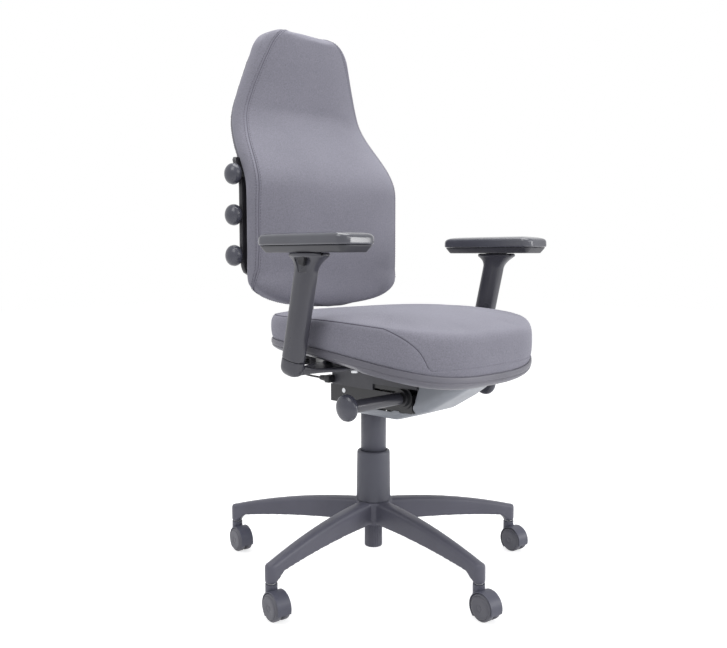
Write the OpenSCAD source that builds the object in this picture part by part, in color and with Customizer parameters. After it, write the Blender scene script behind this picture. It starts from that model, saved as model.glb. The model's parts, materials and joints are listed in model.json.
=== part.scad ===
// High back office chair, all sizes in millimetres.
// The chair faces -Y, +Z is up, and the origin is the floor point under the column.

/* [Base] */
// Radius of the circle on which the caster stems stand
stem_circle_r = 327; // [300:1:360]
// Turn of the base from straight ahead, in degrees
base_turn = -9.5; // [-36:0.5:36]
// Height of the top of a leg beside the hub
leg_top_z = 147; // [142:1:151]
// How far the top of a leg falls from the hub to its tip
leg_fall = 48; // [40:1:56]
// Height of the underside of a leg beside the hub
leg_under_z = 99; // [90:1:104]
// Rise given to the underside by its arch
leg_arch = 18; // [14:1:24]
// Width of a leg beside the hub
leg_w_hub = 36; // [30:1:42]
// Diameter of the post at the tip of a leg
post_d = 24; // [23:0.5:28]
// Height of the lower end of the post
post_z = 65; // [64:0.5:68]
// Radius of the hub
hub_r = 37.5; // [35:0.5:42]

/* [Casters] */
// Diameter of a caster wheel
wheel_d = 52; // [48:1:54]
// Width of one wheel
wheel_w = 15.5; // [13:0.5:16]
// Distance of the wheel axle behind the stem
caster_trail = 18; // [16:0.5:22]
// Turn of every caster on its stem, in degrees
caster_turn = -8; // [-20:1:20]
// Gap between a wheel and its hood
hood_gap = 1; // [0.6:0.1:1.6]
// Wall of the hood
hood_wall = 1.8; // [1.5:0.1:2.4]
// Diameter of a caster stem
stem_d = 11; // [10:0.5:12]
// Diameter of the caster neck
neck_d = 23; // [20:0.5:24]
// Diameter of a wheel axle
axle_d = 6; // [5:0.5:8]

/* [Column] */
// Diameter of the lower telescopic cover at its foot
cover_low_d = 73.5; // [73:0.5:75]
// Diameter of the lower telescopic cover at its upper end
cover_low_d2 = 70.5; // [68:0.5:73]
// Height of the upper end of the lower cover
cover_low_top = 253; // [251:0.5:255]
// Diameter of the upper telescopic cover
cover_up_d = 54; // [54:0.25:56]
// Height of the lower end of the upper cover
cover_up_bottom = 213; // [212.5:0.5:216]
// Outer diameter of the gas cylinder
cylinder_d = 50; // [48:0.5:50]
// Diameter of the cylinder end below the hub
stub_d = 38; // [34:0.5:42]
// Height of the lower end of the cylinder
stub_z = 42; // [38:1:52]
// Height of the upper end of the cylinder
cylinder_top = 250; // [230:1:252]
// Diameter of the pressure tube
tube_d = 28; // [26:0.5:30]
// Radial clearance of a running fit
run = 0.05; // [0.02:0.01:0.09]

/* [Mechanism] */
// Width of the steel housing
housing_w = 112; // [106:1:116]
// Height of the underside of the housing
housing_z = 358; // [354:1:360]
// Height of the housing walls
housing_h = 37; // [34:0.5:37]
// Distance of the tilt axis in front of the column
tilt_y = 137; // [132:1:142]
// Height of the tilt axis
tilt_z = 389; // [386:0.5:390]
// Distance of the recline axis behind the column
recline_y = 34; // [28:1:38]
// Height of the recline axis
recline_z = 384; // [382:0.5:386]
// Diameter of the round boss on each side
boss_d = 34; // [30:1:36]
// Distance of a boss face from the middle of the chair
boss_x = 67; // [64:1:72]
// Diameter of the two side knobs
knob_d = 51; // [46:1:58]
// Distance of the outer face of a side knob from the middle
knob_x = 226; // [210:1:235]
// Diameter of the grip sleeve on each knob shaft
sleeve_d = 24; // [18:1:26]
// Height of the lowest point of the cover bowl
bowl_z = 336; // [332:1:342]

/* [Seat] */
// Width of the seat
seat_w = 496; // [480:2:510]
// Distance of the seat front from the column
seat_front = 316; // [305:1:325]
// Distance of the seat rear from the column
seat_rear = 153; // [145:1:156]
// Squareness of the seat outline, where 2 is an ellipse
seat_power = 2.85; // [2.6:0.05:4]
// Height of the top of the seat cushion
seat_top = 560; // [552:1:568]
// Height of the shell rim at the rear
rim_z = 503; // [500:1:506]
// How far the rim falls at the front
rim_fall = 55; // [45:1:60]
// Height of the shell side at the rear
shell_h = 24; // [22:0.5:26]
// Wall of the seat shell
shell_wall = 4; // [3:0.5:5]
// Thickness of the seat board
board_t = 12; // [9:1:13]

/* [Back] */
// Height of the lower edge of the back
back_z0 = 558; // [556:1:568]
// Height of the upper edge of the back
back_z1 = 1162; // [1132:1:1172]
// Half width of the back at its widest
back_half_w = 214; // [200:1:216]
// Thickness of the back cushion at its sides
back_t = 60; // [52:1:64]
// Depth of the lumbar crown of the cushion
back_crown = 14; // [8:1:20]
// Diameter of a lumbar knob
lumbar_knob_d = 44; // [38:1:46]
// Height of the lowest lumbar knob
lumbar_z0 = 669; // [662:1:676]
// Spacing of the lumbar knobs
lumbar_step = 84; // [70:1:90]
// Width of the steel upright
upright_w = 56; // [44:1:60]
// Thickness of the steel upright
upright_t = 8; // [6:0.5:9]

/* [Arms] */
// Gap between the side of the seat and an arm
arm_gap = 19; // [17:0.5:24]
// Lean of the arm uprights, in degrees
arm_lean = 12.9; // [8:0.1:16]
// Length of the upright section, fore and aft
arm_l = 48; // [46:1:54]
// Width of the upright section
arm_w = 32; // [28:1:34]
// Length of an arm pad
pad_l = 236; // [220:1:250]
// Width of an arm pad
pad_w = 86; // [80:1:95]
// Height of the lower face of the pad base
pad_z = 674; // [670:1:678]

/* [Hidden] */
$fn = 48;
RIGHT = -1;
LEFT = 1;
SIDES = [RIGHT, LEFT];
leg_count = 5;
steps = 12;
flat_gap = 0.3;
spring_turns = 7;

wheel_r = wheel_d / 2;
wheel_gap = 3.6;
wheel_x = wheel_gap / 2 + 0.4;
hood_r = wheel_r + hood_gap + hood_wall;
neck_top = post_z - 1.5;
hub_top = 146;
hub_bottom = 95;
cover_wall = 1.5;
cover_rim_r = cover_up_d / 2 + 0.8;
tube_r = tube_d / 2;
tube_top = 390;
tube_bottom = 132;
rod_r = 5;
washer_z = 50;
socket_top = 388;
socket_r = 23;

housing_x = housing_w / 2;
housing_top = housing_z + housing_h;
housing_front = -158;
housing_rear = 74;
housing_mid = (housing_front + housing_rear) / 2;
plate = 3;
flange_x = housing_x + 1.2;
flange_t = 2.6;
web_z = 428;
rail_x = flange_x + flange_t + 0.5;
rail_t = 3;
rail_top = 484;
rail_rear = 62;
rail_front = -176;
rail_low = 396;
rail_step_y = -58;
rail_high = 409;
lip_w = 3.2;
bowl_top = 446;
bowl_wall = 2.5;
knob_t = 20;
shaft_r = 6;
lever_r = 5;
lever_pivot_x = (boss_x + housing_x) / 2;
lever_pivot_r = 7;
lever_x = tube_r + 2;
lever_w = 8;
valve_r = 3.5;
valve_top = 395;
paddle_gap = 3.2;
spring_x = -24;
spring_r = 12;
spring_wire_r = 2.4;
spring_z = housing_z + plate + spring_r + spring_wire_r + flat_gap;
spring_y0 = -118;
spring_y1 = -46;

board_z = rail_top + flat_gap;
board_top = board_z + board_t;
window_x = 92;
window_y0 = -192;
window_y1 = 92;
board_front = 192;
board_scale = 0.8;
under_fall = 40;
under_tip = 18;
crown_side = 7;
crown_front = 36;
crown_rear = 11;
cushion_gap = 0.6;

arm_x = seat_w / 2 + arm_gap + arm_w / 2;
arm_seam_z = 479;
arm_seam_y = -68;
head_h = 27.2;
head_l = 94;
head_w = 44;
head_drop = 8;
arm_h = (pad_z - arm_seam_z) / cos(arm_lean) - head_h;
head_y = arm_seam_y - (pad_z - arm_seam_z) * tan(arm_lean);
foot_h = 30;
foot_r = 14;
blade_l = 30;
blade_w = 12;
blade_up = arm_h - 40;
button_z = arm_h + 14;
button_y = -4;
button_l = 14;
button_h = 16;
button_t = 6;
slide_gap = 0.3;
pad_x = arm_x - 11;
pad_y = -114;
pad_r = 20;
pad_base_h = 20;
pad_top_h = 20;
pad_arch_r = 900;
pad_rail_w = 20;
pad_rail_l = 60;
wing_z = 453;
wing_t = 8;
wing_x = 150;
bolt_ys = [-112, -38];
bolt_x = 168;
rail_screw_ys = [-150, 30];
trigger_x = -156;
trigger_y = 38;
trigger_z = 454;
trigger_w = 30;
cable_x = -72;
cable_z = 408;
cable_r = 2.2;

back_ring = 28;
face_y = 117;
lean_y = 90;
lean_z0 = 807;
lean_z1 = 992;
tip_y = 11;
tip_z0 = 1002;
tip_z1 = 1150;
tail_y = 6;
tail_z0 = 572;
tail_z1 = 642;
taper = 0.34;
taper_z0 = 832;
taper_z1 = 922;
low_arc = 3.1;
low_r = 60;
high_r = 46;
edge_r = 16;
edge_min = 8;
back_gap = 0.9;
back_board_t = 8.6;
back_wall_d = 14;
back_pan_d = 30;
shell_inset = 20;
strip_x = 215;
lumbar_knob_y = 187;
slider_z = 632;
slider_h = 150;
up_y = 224;
up_r = 50;
up_top = 797;
up_low = 428;
knee_y = 96;

// Places of the casters around the column
function leg_angle(i) = base_turn + (i - 1) * 360 / leg_count;
function stem_at(i) = [stem_circle_r * sin(leg_angle(i)), -stem_circle_r * cos(leg_angle(i)), 0];

// Upper and lower edges of a leg seen from the side
function leg_top(r) = leg_top_z - leg_fall * pow(r / (stem_circle_r + 16), 2);
function leg_under(r) = leg_under_z - leg_arch * pow(max(r, 0) / 310, 2.5);

// A rounded outline of half widths a and b, with power p
function oval(a, b, p, n = 60) = [for (i = [0 : n - 1])
    let (t = i * 360 / n, c = cos(t), s = sin(t))
    [a * sign(c) * pow(abs(c), 2 / p), b * sign(s) * pow(abs(s), 2 / p)]];

// Seat: middle and half depth of its outline
seat_mid = (seat_rear - seat_front) / 2;
seat_half_d = (seat_rear + seat_front) / 2;
// Share of the way from the rear of the seat to its front
function seat_share(y) = min(1, max(0, (seat_rear - y) / (2 * seat_half_d)));
function rim_at(y) = rim_z - rim_fall * pow(seat_share(y), 3.4);
function shell_under(y) = rim_z - shell_h - under_fall * pow(seat_share(y), 2.2)
    - under_tip * pow(seat_share(y), 6);

// Back: half width and rear face by height, as the side view shows them
function smooth(a, b, x) = let (t = min(1, max(0, (x - a) / (b - a)))) t * t * (3 - 2 * t);
function back_half(z) = back_half_w - (z < taper_z0 ? 0
    : z < taper_z1 ? taper * pow(z - taper_z0, 2) / 2 / (taper_z1 - taper_z0)
    : taper * (z - (taper_z0 + taper_z1) / 2));
function back_face(z) = face_y + lean_y * smooth(lean_z0, lean_z1, z)
    - tip_y * smooth(tip_z0, tip_z1, z) - tail_y * smooth(tail_z1, tail_z0, z);
// Rounding of the corners at the two ends of the back
function end_round(u, r) = u >= r ? 0 : r - sqrt(r * r - pow(r - max(u, 0), 2));
function back_edge(z, inset) = max(edge_min, back_half(z) - inset
    - low_arc * end_round(z - back_z0 - inset, low_r) - end_round(back_z1 - inset - z, high_r));
// Levels from the lower edge to the upper one, closer together where the corners turn
function back_levels(inset, ends, between) = let (z0 = back_z0 + inset, z1 = back_z1 - inset) concat(
    [for (i = [0 : ends]) z0 + low_r * (1 - cos(i * 90 / ends))],
    [for (i = [1 : between - 1]) z0 + low_r + (z1 - z0 - low_r - high_r) * i / between],
    [for (i = [0 : ends]) z1 - high_r * (1 - sin(i * 90 / ends))]);

module ring(r_out, r_in, h) {
    difference() {
        cylinder(r = r_out, h = h);
        translate([0, 0, -1]) cylinder(r = r_in, h = h + 2);
    }
}

module stadium(l, w) {
    square([w, l - w], center = true);
    for (s = SIDES) translate([0, s * (l - w) / 2]) circle(d = w);
}

module rounded_plate(x, y, r) {
    square([x - 2 * r, y], center = true);
    square([x, y - 2 * r], center = true);
    for (i = SIDES, j = SIDES) translate([i * (x / 2 - r), j * (y / 2 - r)]) circle(r = r);
}

module along_x(x) {
    translate([x, 0, 0]) rotate([0, 90, 0]) children();
}

// Base
module leg_profile() {
    r_end = stem_circle_r + post_d / 2;
    r_in = stem_circle_r - post_d / 2;
    fillet = 18;
    polygon(concat(
        [for (i = [0 : steps]) let (r = 20 + (r_end - 20) * i / steps) [r, leg_top(r)]],
        [[r_end, post_z + 6], [r_in, post_z + 6]],
        [for (a = [0 : 15 : 90]) [r_in - fillet + fillet * cos(a),
            leg_under(r_in - fillet) - fillet + fillet * sin(a)]],
        [for (i = [steps : -1 : 0]) let (r = 20 + (r_in - fillet - 20) * i / steps) [r, leg_under(r)]]
    ));
}

module leg() {
    intersection() {
        rotate([90, 0, -90]) linear_extrude(height = 2 * hub_r, center = true) leg_profile();
        linear_extrude(height = 2 * leg_top_z) union() {
            polygon([[-leg_w_hub / 2, 0], [leg_w_hub / 2, 0],
                [post_d / 2, -stem_circle_r], [-post_d / 2, -stem_circle_r]]);
            translate([0, -stem_circle_r]) circle(d = post_d);
        }
    }
    translate([0, -stem_circle_r, post_z]) cylinder(d = post_d - 0.6, h = 30);
}

module star_base() color("dimgray") {
    difference() {
        union() {
            for (i = [1 : leg_count]) rotate([0, 0, leg_angle(i)]) leg();
            translate([0, 0, hub_bottom]) cylinder(r = hub_r - 6, h = hub_top - hub_bottom);
            translate([0, 0, hub_bottom + 10]) cylinder(r = hub_r, h = hub_top - hub_bottom - 10);
        }
        translate([0, 0, hub_bottom - 1]) cylinder(d = cylinder_d + 0.02, h = 100);
        translate([0, 0, hub_top]) cylinder(d = cover_low_d + 1, h = 60);
        for (i = [1 : leg_count]) translate(stem_at(i)) translate([0, 0, post_z - 1])
            cylinder(d = stem_d + 0.02, h = 33);
    }
}

module caster_stems() color("silver") {
    for (i = [1 : leg_count]) translate(stem_at(i)) {
        translate([0, 0, neck_top - 12]) cylinder(d = stem_d, h = post_z + 30 - neck_top + 12);
        translate([0, 0, neck_top + 0.2]) cylinder(d = stem_d + 6, h = post_z - neck_top - 0.25);
    }
}

module gas_cylinder() color("black") {
    difference() {
        union() {
            translate([0, 0, stub_z]) cylinder(d = stub_d, h = hub_bottom - stub_z + 1);
            translate([0, 0, hub_bottom]) cylinder(d = cylinder_d, h = cylinder_top - hub_bottom);
        }
        translate([0, 0, washer_z]) cylinder(r = tube_r + run, h = 300);
        translate([0, 0, stub_z - 1]) cylinder(r = rod_r + run, h = 20);
    }
}

module column_lower_cover() color("dimgray") {
    difference() {
        translate([0, 0, hub_top + 0.2]) union() {
            cylinder(d1 = cover_low_d, d2 = cover_low_d2, h = cover_low_top - hub_top - 4);
            cylinder(d = cover_low_d2 - 3, h = cover_low_top - hub_top);
        }
        translate([0, 0, hub_top - 1]) cylinder(d = cover_low_d2 - 5, h = cover_low_top - hub_top - 3);
        translate([0, 0, hub_top]) cylinder(r = cover_rim_r, h = 200);
    }
}

// Casters: each stands at its stem, with its axle along X
module at_caster(i) {
    translate(stem_at(i)) rotate([0, 0, caster_turn]) translate([0, -caster_trail, wheel_r]) children();
}

module caster_body(i) {
    hood_w = 2 * (wheel_x + wheel_w) - 7;
    color("dimgray") difference() {
        union() {
            at_caster(i) difference() {
                rotate([0, 90, 0]) cylinder(r = hood_r, h = hood_w, center = true);
                translate([0, -10, -hood_r - 9]) cube([60, 2 * hood_r, 2 * hood_r], center = true);
            }
            translate(stem_at(i)) translate([0, 0, wheel_r]) cylinder(d = neck_d, h = neck_top - wheel_r);
        }
        translate(stem_at(i)) translate([0, 0, neck_top - 12.3]) cylinder(r = stem_d / 2 + run, h = 14);
        at_caster(i) rotate([0, 90, 0]) cylinder(d = axle_d + 0.04, h = 60, center = true);
        at_caster(i) for (s = SIDES) along_x(s * (wheel_x + 25 - flat_gap))
            cylinder(r = wheel_r + hood_gap, h = 50, center = true);
    }
    color("silver") at_caster(i) rotate([0, 90, 0])
        cylinder(d = axle_d, h = 2 * (wheel_x + wheel_w) - 8, center = true);
}

module caster_wheel(i, side) color("dimgray") {
    at_caster(i) along_x(side * (wheel_x + wheel_w / 2)) rotate([side < 0 ? 180 : 0, 0, 0]) difference() {
        union() {
            cylinder(r = wheel_r - 3, h = wheel_w, center = true);
            translate([0, 0, -wheel_w / 2]) cylinder(r = wheel_r, h = wheel_w - 4);
            translate([0, 0, wheel_w / 2 - 4]) cylinder(r1 = wheel_r, r2 = wheel_r - 2.6, h = 2.6, $fn = 64);
        }
        translate([0, 0, -wheel_w / 2 - 1]) cylinder(d = axle_d + 2 * run, h = wheel_w - 2);
    }
}

// Parts of the gas spring that turn or rise with the chair
module piston_rod() color("silver") {
    translate([0, 0, stub_z + 0.5]) cylinder(r = rod_r, h = 205);
}

module thrust_bearing() color("silver") {
    translate([0, 0, washer_z + 0.05]) ring(rod_r + 7, rod_r + 0.02, 6);
}

module pressure_tube() color("black") {
    difference() {
        translate([0, 0, tube_bottom]) cylinder(r = tube_r, h = tube_top - tube_bottom);
        translate([0, 0, tube_bottom - 1]) cylinder(r = rod_r + run, h = 30);
        translate([0, 0, tube_bottom + 12]) cylinder(r = tube_r - 2, h = 225);
        translate([0, 0, tube_top - 20]) cylinder(r = valve_r + run, h = 30);
    }
}

module column_upper_cover() color("dimgray") {
    translate([0, 0, cover_up_bottom])
        ring(cover_up_d / 2, cover_up_d / 2 - cover_wall, housing_z - flat_gap - cover_up_bottom);
}

module valve_button() color("silver") {
    translate([0, 0, valve_top - 18]) cylinder(r = valve_r, h = 18);
}

// Mechanism: the tilt axis runs along X through the two round bosses
module at_tilt(x = 0) {
    translate([x, -tilt_y, tilt_z]) rotate([0, 90, 0]) children();
}

module at_lever_pivot() {
    translate([lever_pivot_x, -tilt_y, tilt_z]) rotate([90, 0, 0]) children();
}

module at_recline(x = 0) {
    translate([x, recline_y, recline_z]) rotate([0, 90, 0]) children();
}

module tilt_housing() color("darkslategray") {
    difference() {
        union() {
            translate([-housing_x, housing_front, housing_z])
                cube([housing_w, housing_rear - housing_front, plate]);
            for (s = SIDES) translate([s * (housing_x - plate / 2), housing_mid, housing_z + housing_h / 2])
                cube([plate, housing_rear - housing_front, housing_h], center = true);
            translate([-housing_x, housing_front, housing_z]) cube([housing_w, plate, housing_h]);
            translate([0, 0, housing_z]) cylinder(r = socket_r, h = socket_top - 8 - housing_z);
            for (s = SIDES) at_tilt(s * (boss_x + housing_x - plate) / 2)
                cylinder(d = boss_d, h = boss_x - housing_x + plate, center = true);
            for (s = SIDES) at_recline(s * (housing_x - plate / 2))
                cylinder(r = 16, h = plate, center = true);
        }
        translate([0, 0, housing_z - 1]) cylinder(r = tube_r + 0.02, h = 60);
        at_tilt((boss_x + housing_x) / 2 * RIGHT) cylinder(r = shaft_r + run, h = 60, center = true);
        at_tilt((boss_x + housing_x) / 2) cylinder(r = lever_r + 4.6, h = 60, center = true);
        at_recline() cylinder(r = 5.02, h = 200, center = true);
    }
}

// The bowl under the housing: a skin over balls, each as half width, place, height and radius
BOWL = [[60, 14, 0, 27], [60, -100, 1, 25], [57.5, -178, 26, 22], [54, -232, 57, 20], [40, -268, 79, 12]];
module bowl_form(cut) hull() for (q = BOWL, s = SIDES, top = [0, 1])
    translate([s * (q[0] - q[3]), q[1], top * bowl_top + (1 - top) * (bowl_z + q[2] + q[3])])
        sphere(r = q[3] - cut, $fn = 24);

module housing_cover() color("slategray") {
    difference() {
        bowl_form(0);
        bowl_form(bowl_wall);
        rotate([90, 0, 90]) linear_extrude(height = 300, center = true) polygon([
            [80, housing_z - flat_gap], [-104, housing_z - flat_gap], [-112, 362], [-150, 362], [-164, 380],
            [-176, 418], [-250, 424], [-300, 427], [-300, 520], [80, 520]]);
        translate([0, 0, 300]) cylinder(r = cover_up_d / 2 + 0.4, h = 100);
        at_tilt() cylinder(d = boss_d + 14, h = 300, center = true);
        translate([-housing_x - 0.4, housing_front - 0.4, housing_z - flat_gap])
            cube([housing_w + 0.8, 220, 80]);
    }
}

// A coil spring of round wire, as one tube along its turns
function coil_point(t, r, pitch) = [r * cos(t), r * sin(t), pitch * t / 360];
module coil(r, wire, length, turns, sides = 6, per_turn = 18) {
    n = turns * per_turn;
    pitch = (length - 2 * wire) / turns;
    function frame_at(i) = let (t = i * 360 / per_turn) [coil_point(t, r, pitch),
        [cos(t), sin(t), 0]];
    points = [for (i = [0 : n]) let (f = frame_at(i)) for (k = [0 : sides - 1])
        let (a = k * 360 / sides) f[0] + wire * (cos(a) * f[1] + sin(a) * [0, 0, 1])];
    faces = concat(
        [for (i = [0 : n - 1], k = [0 : sides - 1]) [i * sides + k, (i + 1) * sides + k,
            (i + 1) * sides + (k + 1) % sides]],
        [for (i = [0 : n - 1], k = [0 : sides - 1]) [i * sides + k,
            (i + 1) * sides + (k + 1) % sides, i * sides + (k + 1) % sides]],
        [[for (k = [0 : sides - 1]) k]],
        [[for (k = [sides - 1 : -1 : 0]) n * sides + k]]);
    echo(least_gap_between_turns = pitch - 2 * wire);
    translate([0, 0, wire]) polyhedron(points, faces, convexity = 6);
}

module tilt_spring() color("silver") {
    translate([spring_x, spring_y1, spring_z]) rotate([90, 0, 0])
        coil(spring_r, spring_wire_r, spring_y1 - spring_y0, spring_turns);
}

module recline_pin() color("silver") {
    at_recline() cylinder(r = 5, h = housing_w, center = true);
}

// Side knobs: a shaft along the tilt axis, a grip sleeve and a domed knob
module knob_form(d, t) {
    rotate_extrude() polygon(concat([[0, 0], [d / 2 - 5, 0], [d / 2 - 1, 3], [d / 2, 7]],
        [for (a = [0 : 10 : 90]) [d / 2 * cos(a), 7 + (t - 7) * sin(a)]]));
}

module grip_shaft(side, r, x_in) {
    at_tilt(side * (x_in + knob_x - 8) / 2) cylinder(r = r, h = knob_x - 8 - x_in, center = true);
    at_tilt(side * (boss_x + 4 + knob_x - knob_t - 3) / 2)
        cylinder(d = sleeve_d, h = knob_x - knob_t - 3 - boss_x - 4, center = true);
}

module side_knob(side, r) {
    difference() {
        translate([side * (knob_x - knob_t), -tilt_y, tilt_z]) rotate([0, side * 90, 0])
            knob_form(knob_d, knob_t);
        at_tilt(side * (knob_x - 8 - 20 + 0.1)) cylinder(r = r + 0.02, h = 40, center = true);
    }
}

module tension_shaft() color("dimgray") grip_shaft(RIGHT, shaft_r, housing_x - 12);
module tension_knob() color("dimgray") side_knob(RIGHT, shaft_r);
module height_knob() color("dimgray") side_knob(LEFT, lever_r);

module height_lever() color("dimgray") {
    grip_shaft(LEFT, lever_r, lever_x);
    at_lever_pivot() cylinder(r = lever_pivot_r, h = 10, center = true);
    translate([lever_x, -tilt_y - 4, tilt_z - 3.5]) cube([lever_w, tilt_y + 4, 7]);
    translate([-6, -9, valve_top + paddle_gap]) cube([lever_x + lever_w + 6, 18, 4]);
    translate([lever_x, -9, tilt_z - 3.5]) cube([lever_w, 18, valve_top + paddle_gap + 4 - tilt_z + 3.5]);
}

// Seat frame: an inverted channel that turns on the bosses
module tilt_plate() color("darkslategray") {
    y0 = -150;
    y1 = 56;
    difference() {
        union() {
            translate([-flange_x - flange_t, y0, web_z]) cube([2 * (flange_x + flange_t), y1 - y0, plate]);
            for (s = SIDES) {
                translate([s * (flange_x + flange_t / 2), (y0 + y1) / 2, (rail_low + 4 + web_z + 1) / 2])
                    cube([flange_t, y1 - y0, web_z + 1 - rail_low - 4], center = true);
                at_tilt(s * (flange_x + flange_t / 2)) cylinder(d = boss_d + 12, h = flange_t, center = true);
            }
        }
        at_tilt() cylinder(r = boss_d / 2 + run, h = 300, center = true);
        translate([0, -60, web_z - 5]) cube([70, 110, 20], center = true);
    }
}

// Sliding carriage: two side plates with a web, hooked under the tilt plate
module slide_carriage() color("black") {
    difference() {
        union() {
            for (s = SIDES) {
                translate([s * (rail_x + rail_t / 2), 0, 0]) rotate([90, 0, 90])
                    linear_extrude(height = rail_t, center = true) polygon([
                        [rail_rear, rail_low], [rail_rear, rail_top], [rail_front, rail_top],
                        [rail_front, rail_high], [rail_step_y, rail_high], [rail_step_y, rail_low]]);
                translate([s * (rail_x - lip_w / 2 + rail_t / 2), (rail_rear + rail_step_y) / 2,
                    rail_low + 1.3]) cube([lip_w + rail_t, rail_rear - rail_step_y, 2.6], center = true);
                translate([s * (rail_x + 10), (rail_rear + rail_front) / 2, rail_top - 1.5])
                    cube([20, rail_rear - rail_front, 3], center = true);
            }
            translate([-rail_x, rail_front, web_z + plate + 0.4])
                cube([2 * rail_x, rail_rear - rail_front, rail_t]);
        }
        for (s = SIDES, y = rail_screw_ys) translate([s * (rail_x + 14), y, 400]) cylinder(r = 3.3, h = 100);
    }
}

module seat_board() color("tan") {
    difference() {
        translate([0, seat_mid, board_z]) linear_extrude(height = board_t) intersection() {
            polygon(oval(seat_w / 2 * board_scale, seat_half_d * board_scale, seat_power));
            translate([-300, -board_front - seat_mid]) square([600, 500]);
        }
        for (s = SIDES, y = rail_screw_ys) translate([s * (rail_x + 14), y, 400]) cylinder(r = 3.02, h = 94);
        for (s = SIDES, y = bolt_ys) translate([s * bolt_x, y, 400]) cylinder(r = 4.02, h = 94);
    }
}

module seat_plan(inset, h = 200) {
    translate([0, seat_mid, 400]) linear_extrude(height = h)
        polygon(oval(seat_w / 2 - inset, seat_half_d - inset, seat_power));
}

module seat_band(low, high) {
    ys = [for (i = [0 : 20]) seat_rear + 5 - i * (2 * seat_half_d + 10) / 20];
    rotate([90, 0, 90]) linear_extrude(height = 600, center = true) polygon(concat(
        [for (y = ys) [y, low ? shell_under(y) + shell_wall : shell_under(y)]],
        [for (i = [20 : -1 : 0]) [ys[i], rim_at(ys[i]) + (high ? 30 : 0)]]));
}

module seat_shell() color("dimgray") {
    difference() {
        intersection() {
            seat_plan(1);
            seat_band(false, false);
        }
        intersection() {
            seat_plan(1 + shell_wall);
            seat_band(true, true);
        }
        translate([-window_x, window_y0, 400]) cube([2 * window_x, window_y1 - window_y0, 100]);
        for (s = SIDES, y = bolt_ys) translate([s * bolt_x, y, 400]) cylinder(r = 9.5, h = 100);
        for (s = SIDES) translate([s * 215, -76, wing_z + wing_t + 1.5]) rotate([0, 90, 0])
            linear_extrude(height = 160, center = true) rounded_plate(40, 150, 16);
    }
    for (s = SIDES, y = [-96, 70]) translate([s * 120, y, shell_under(y) + 1])
        cylinder(r = 7, h = board_z - shell_under(y) - 1 - 0.02);
}

// Cushion skin: rings of a share of the outline, from the rim up to the crown
module ring_loft(rings) {
    n = len(rings[0]);
    m = len(rings);
    points = [for (r = rings) each r];
    polyhedron(points, concat(
        [for (k = [0 : m - 2], i = [0 : n - 1]) [k * n + i, k * n + (i + 1) % n, (k + 1) * n + (i + 1) % n]],
        [for (k = [0 : m - 2], i = [0 : n - 1]) [k * n + i, (k + 1) * n + (i + 1) % n, (k + 1) * n + i]],
        [for (i = [1 : n - 2]) [0, i + 1, i]],
        [for (i = [1 : n - 2]) [(m - 1) * n, (m - 1) * n + i, (m - 1) * n + i + 1]]), convexity = 4);
}

function seat_crown(x, y) = seat_top - crown_side * pow(abs(x) / (seat_w / 2), 5)
    - crown_front * pow(max(0, seat_share(y) - 0.45) / 0.55, 2.6)
    - crown_rear * pow(max(0, 0.4 - seat_share(y)) / 0.4, 2);
// Underside of the cushion: flat over the board, and down to the rim in front of it
function cushion_floor(y) = cushion_gap
    + max(rim_at(y), board_top - 1.5 * max(0, -board_front - 43 - y));
module seat_cushion() color("gray") {
    outline = oval(seat_w / 2, seat_half_d, seat_power, 48);
    sides = [[0.975, 0], [0.994, 0.2], [1, 0.45], [0.998, 0.75], [0.985, 0.92], [0.955, 1]];
    tops = [0.84, 0.68, 0.46, 0.22];
    side_rings = [for (q = sides) [for (p = outline) let (
        x = p[0] * q[0], y = p[1] * q[0] + seat_mid, a = rim_at(y) + cushion_gap,
        b = seat_crown(p[0] * 0.95, p[1] * 0.95 + seat_mid) - 1)
        [x, y, a + (b - a) * q[1]]]];
    top_rings = [for (q = tops) [for (p = outline) [p[0] * q, p[1] * q + seat_mid,
        seat_crown(p[0] * q, p[1] * q + seat_mid)]]];
    base_rings = [for (q = [0.3, 0.6, board_scale + 0.03]) [for (p = outline)
        let (y = p[1] * q + seat_mid) [p[0] * q, y, cushion_floor(y)]]];
    rim_ring = [for (p = outline)
        [p[0] * 0.88, p[1] * 0.88 + seat_mid, rim_at(p[1] * sides[0][0] + seat_mid) + cushion_gap]];
    ring_loft(concat(base_rings, [rim_ring], side_rings, top_rings));
}

// Lever that frees the seat slide, under the shell behind the arm, and its cable
CABLE_ROUTE = [[cable_x, 80, cable_z], [cable_x, 100, cable_z], [-73, 122, 409], [-77, 140, 412],
    [-86, 153, 418], [-99, 157, 426], [-113, 151, 435], [-124, 137, 443], [-131, 117, 449],
    [-134, 96, 453], [-135, 80, 454], [-135, 66, 454]];

module slide_trigger() color("black") {
    difference() {
        union() {
            translate([trigger_x, trigger_y, trigger_z]) rotate([90, 0, 0])
                cylinder(r = 6, h = trigger_w, center = true);
            translate([trigger_x - 36, trigger_y - trigger_w / 2, trigger_z - 3]) cube([36, trigger_w, 5]);
        }
        translate([trigger_x, trigger_y, trigger_z]) rotate([90, 0, 0])
            cylinder(r = 3 + run, h = 60, center = true);
    }
}

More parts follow.
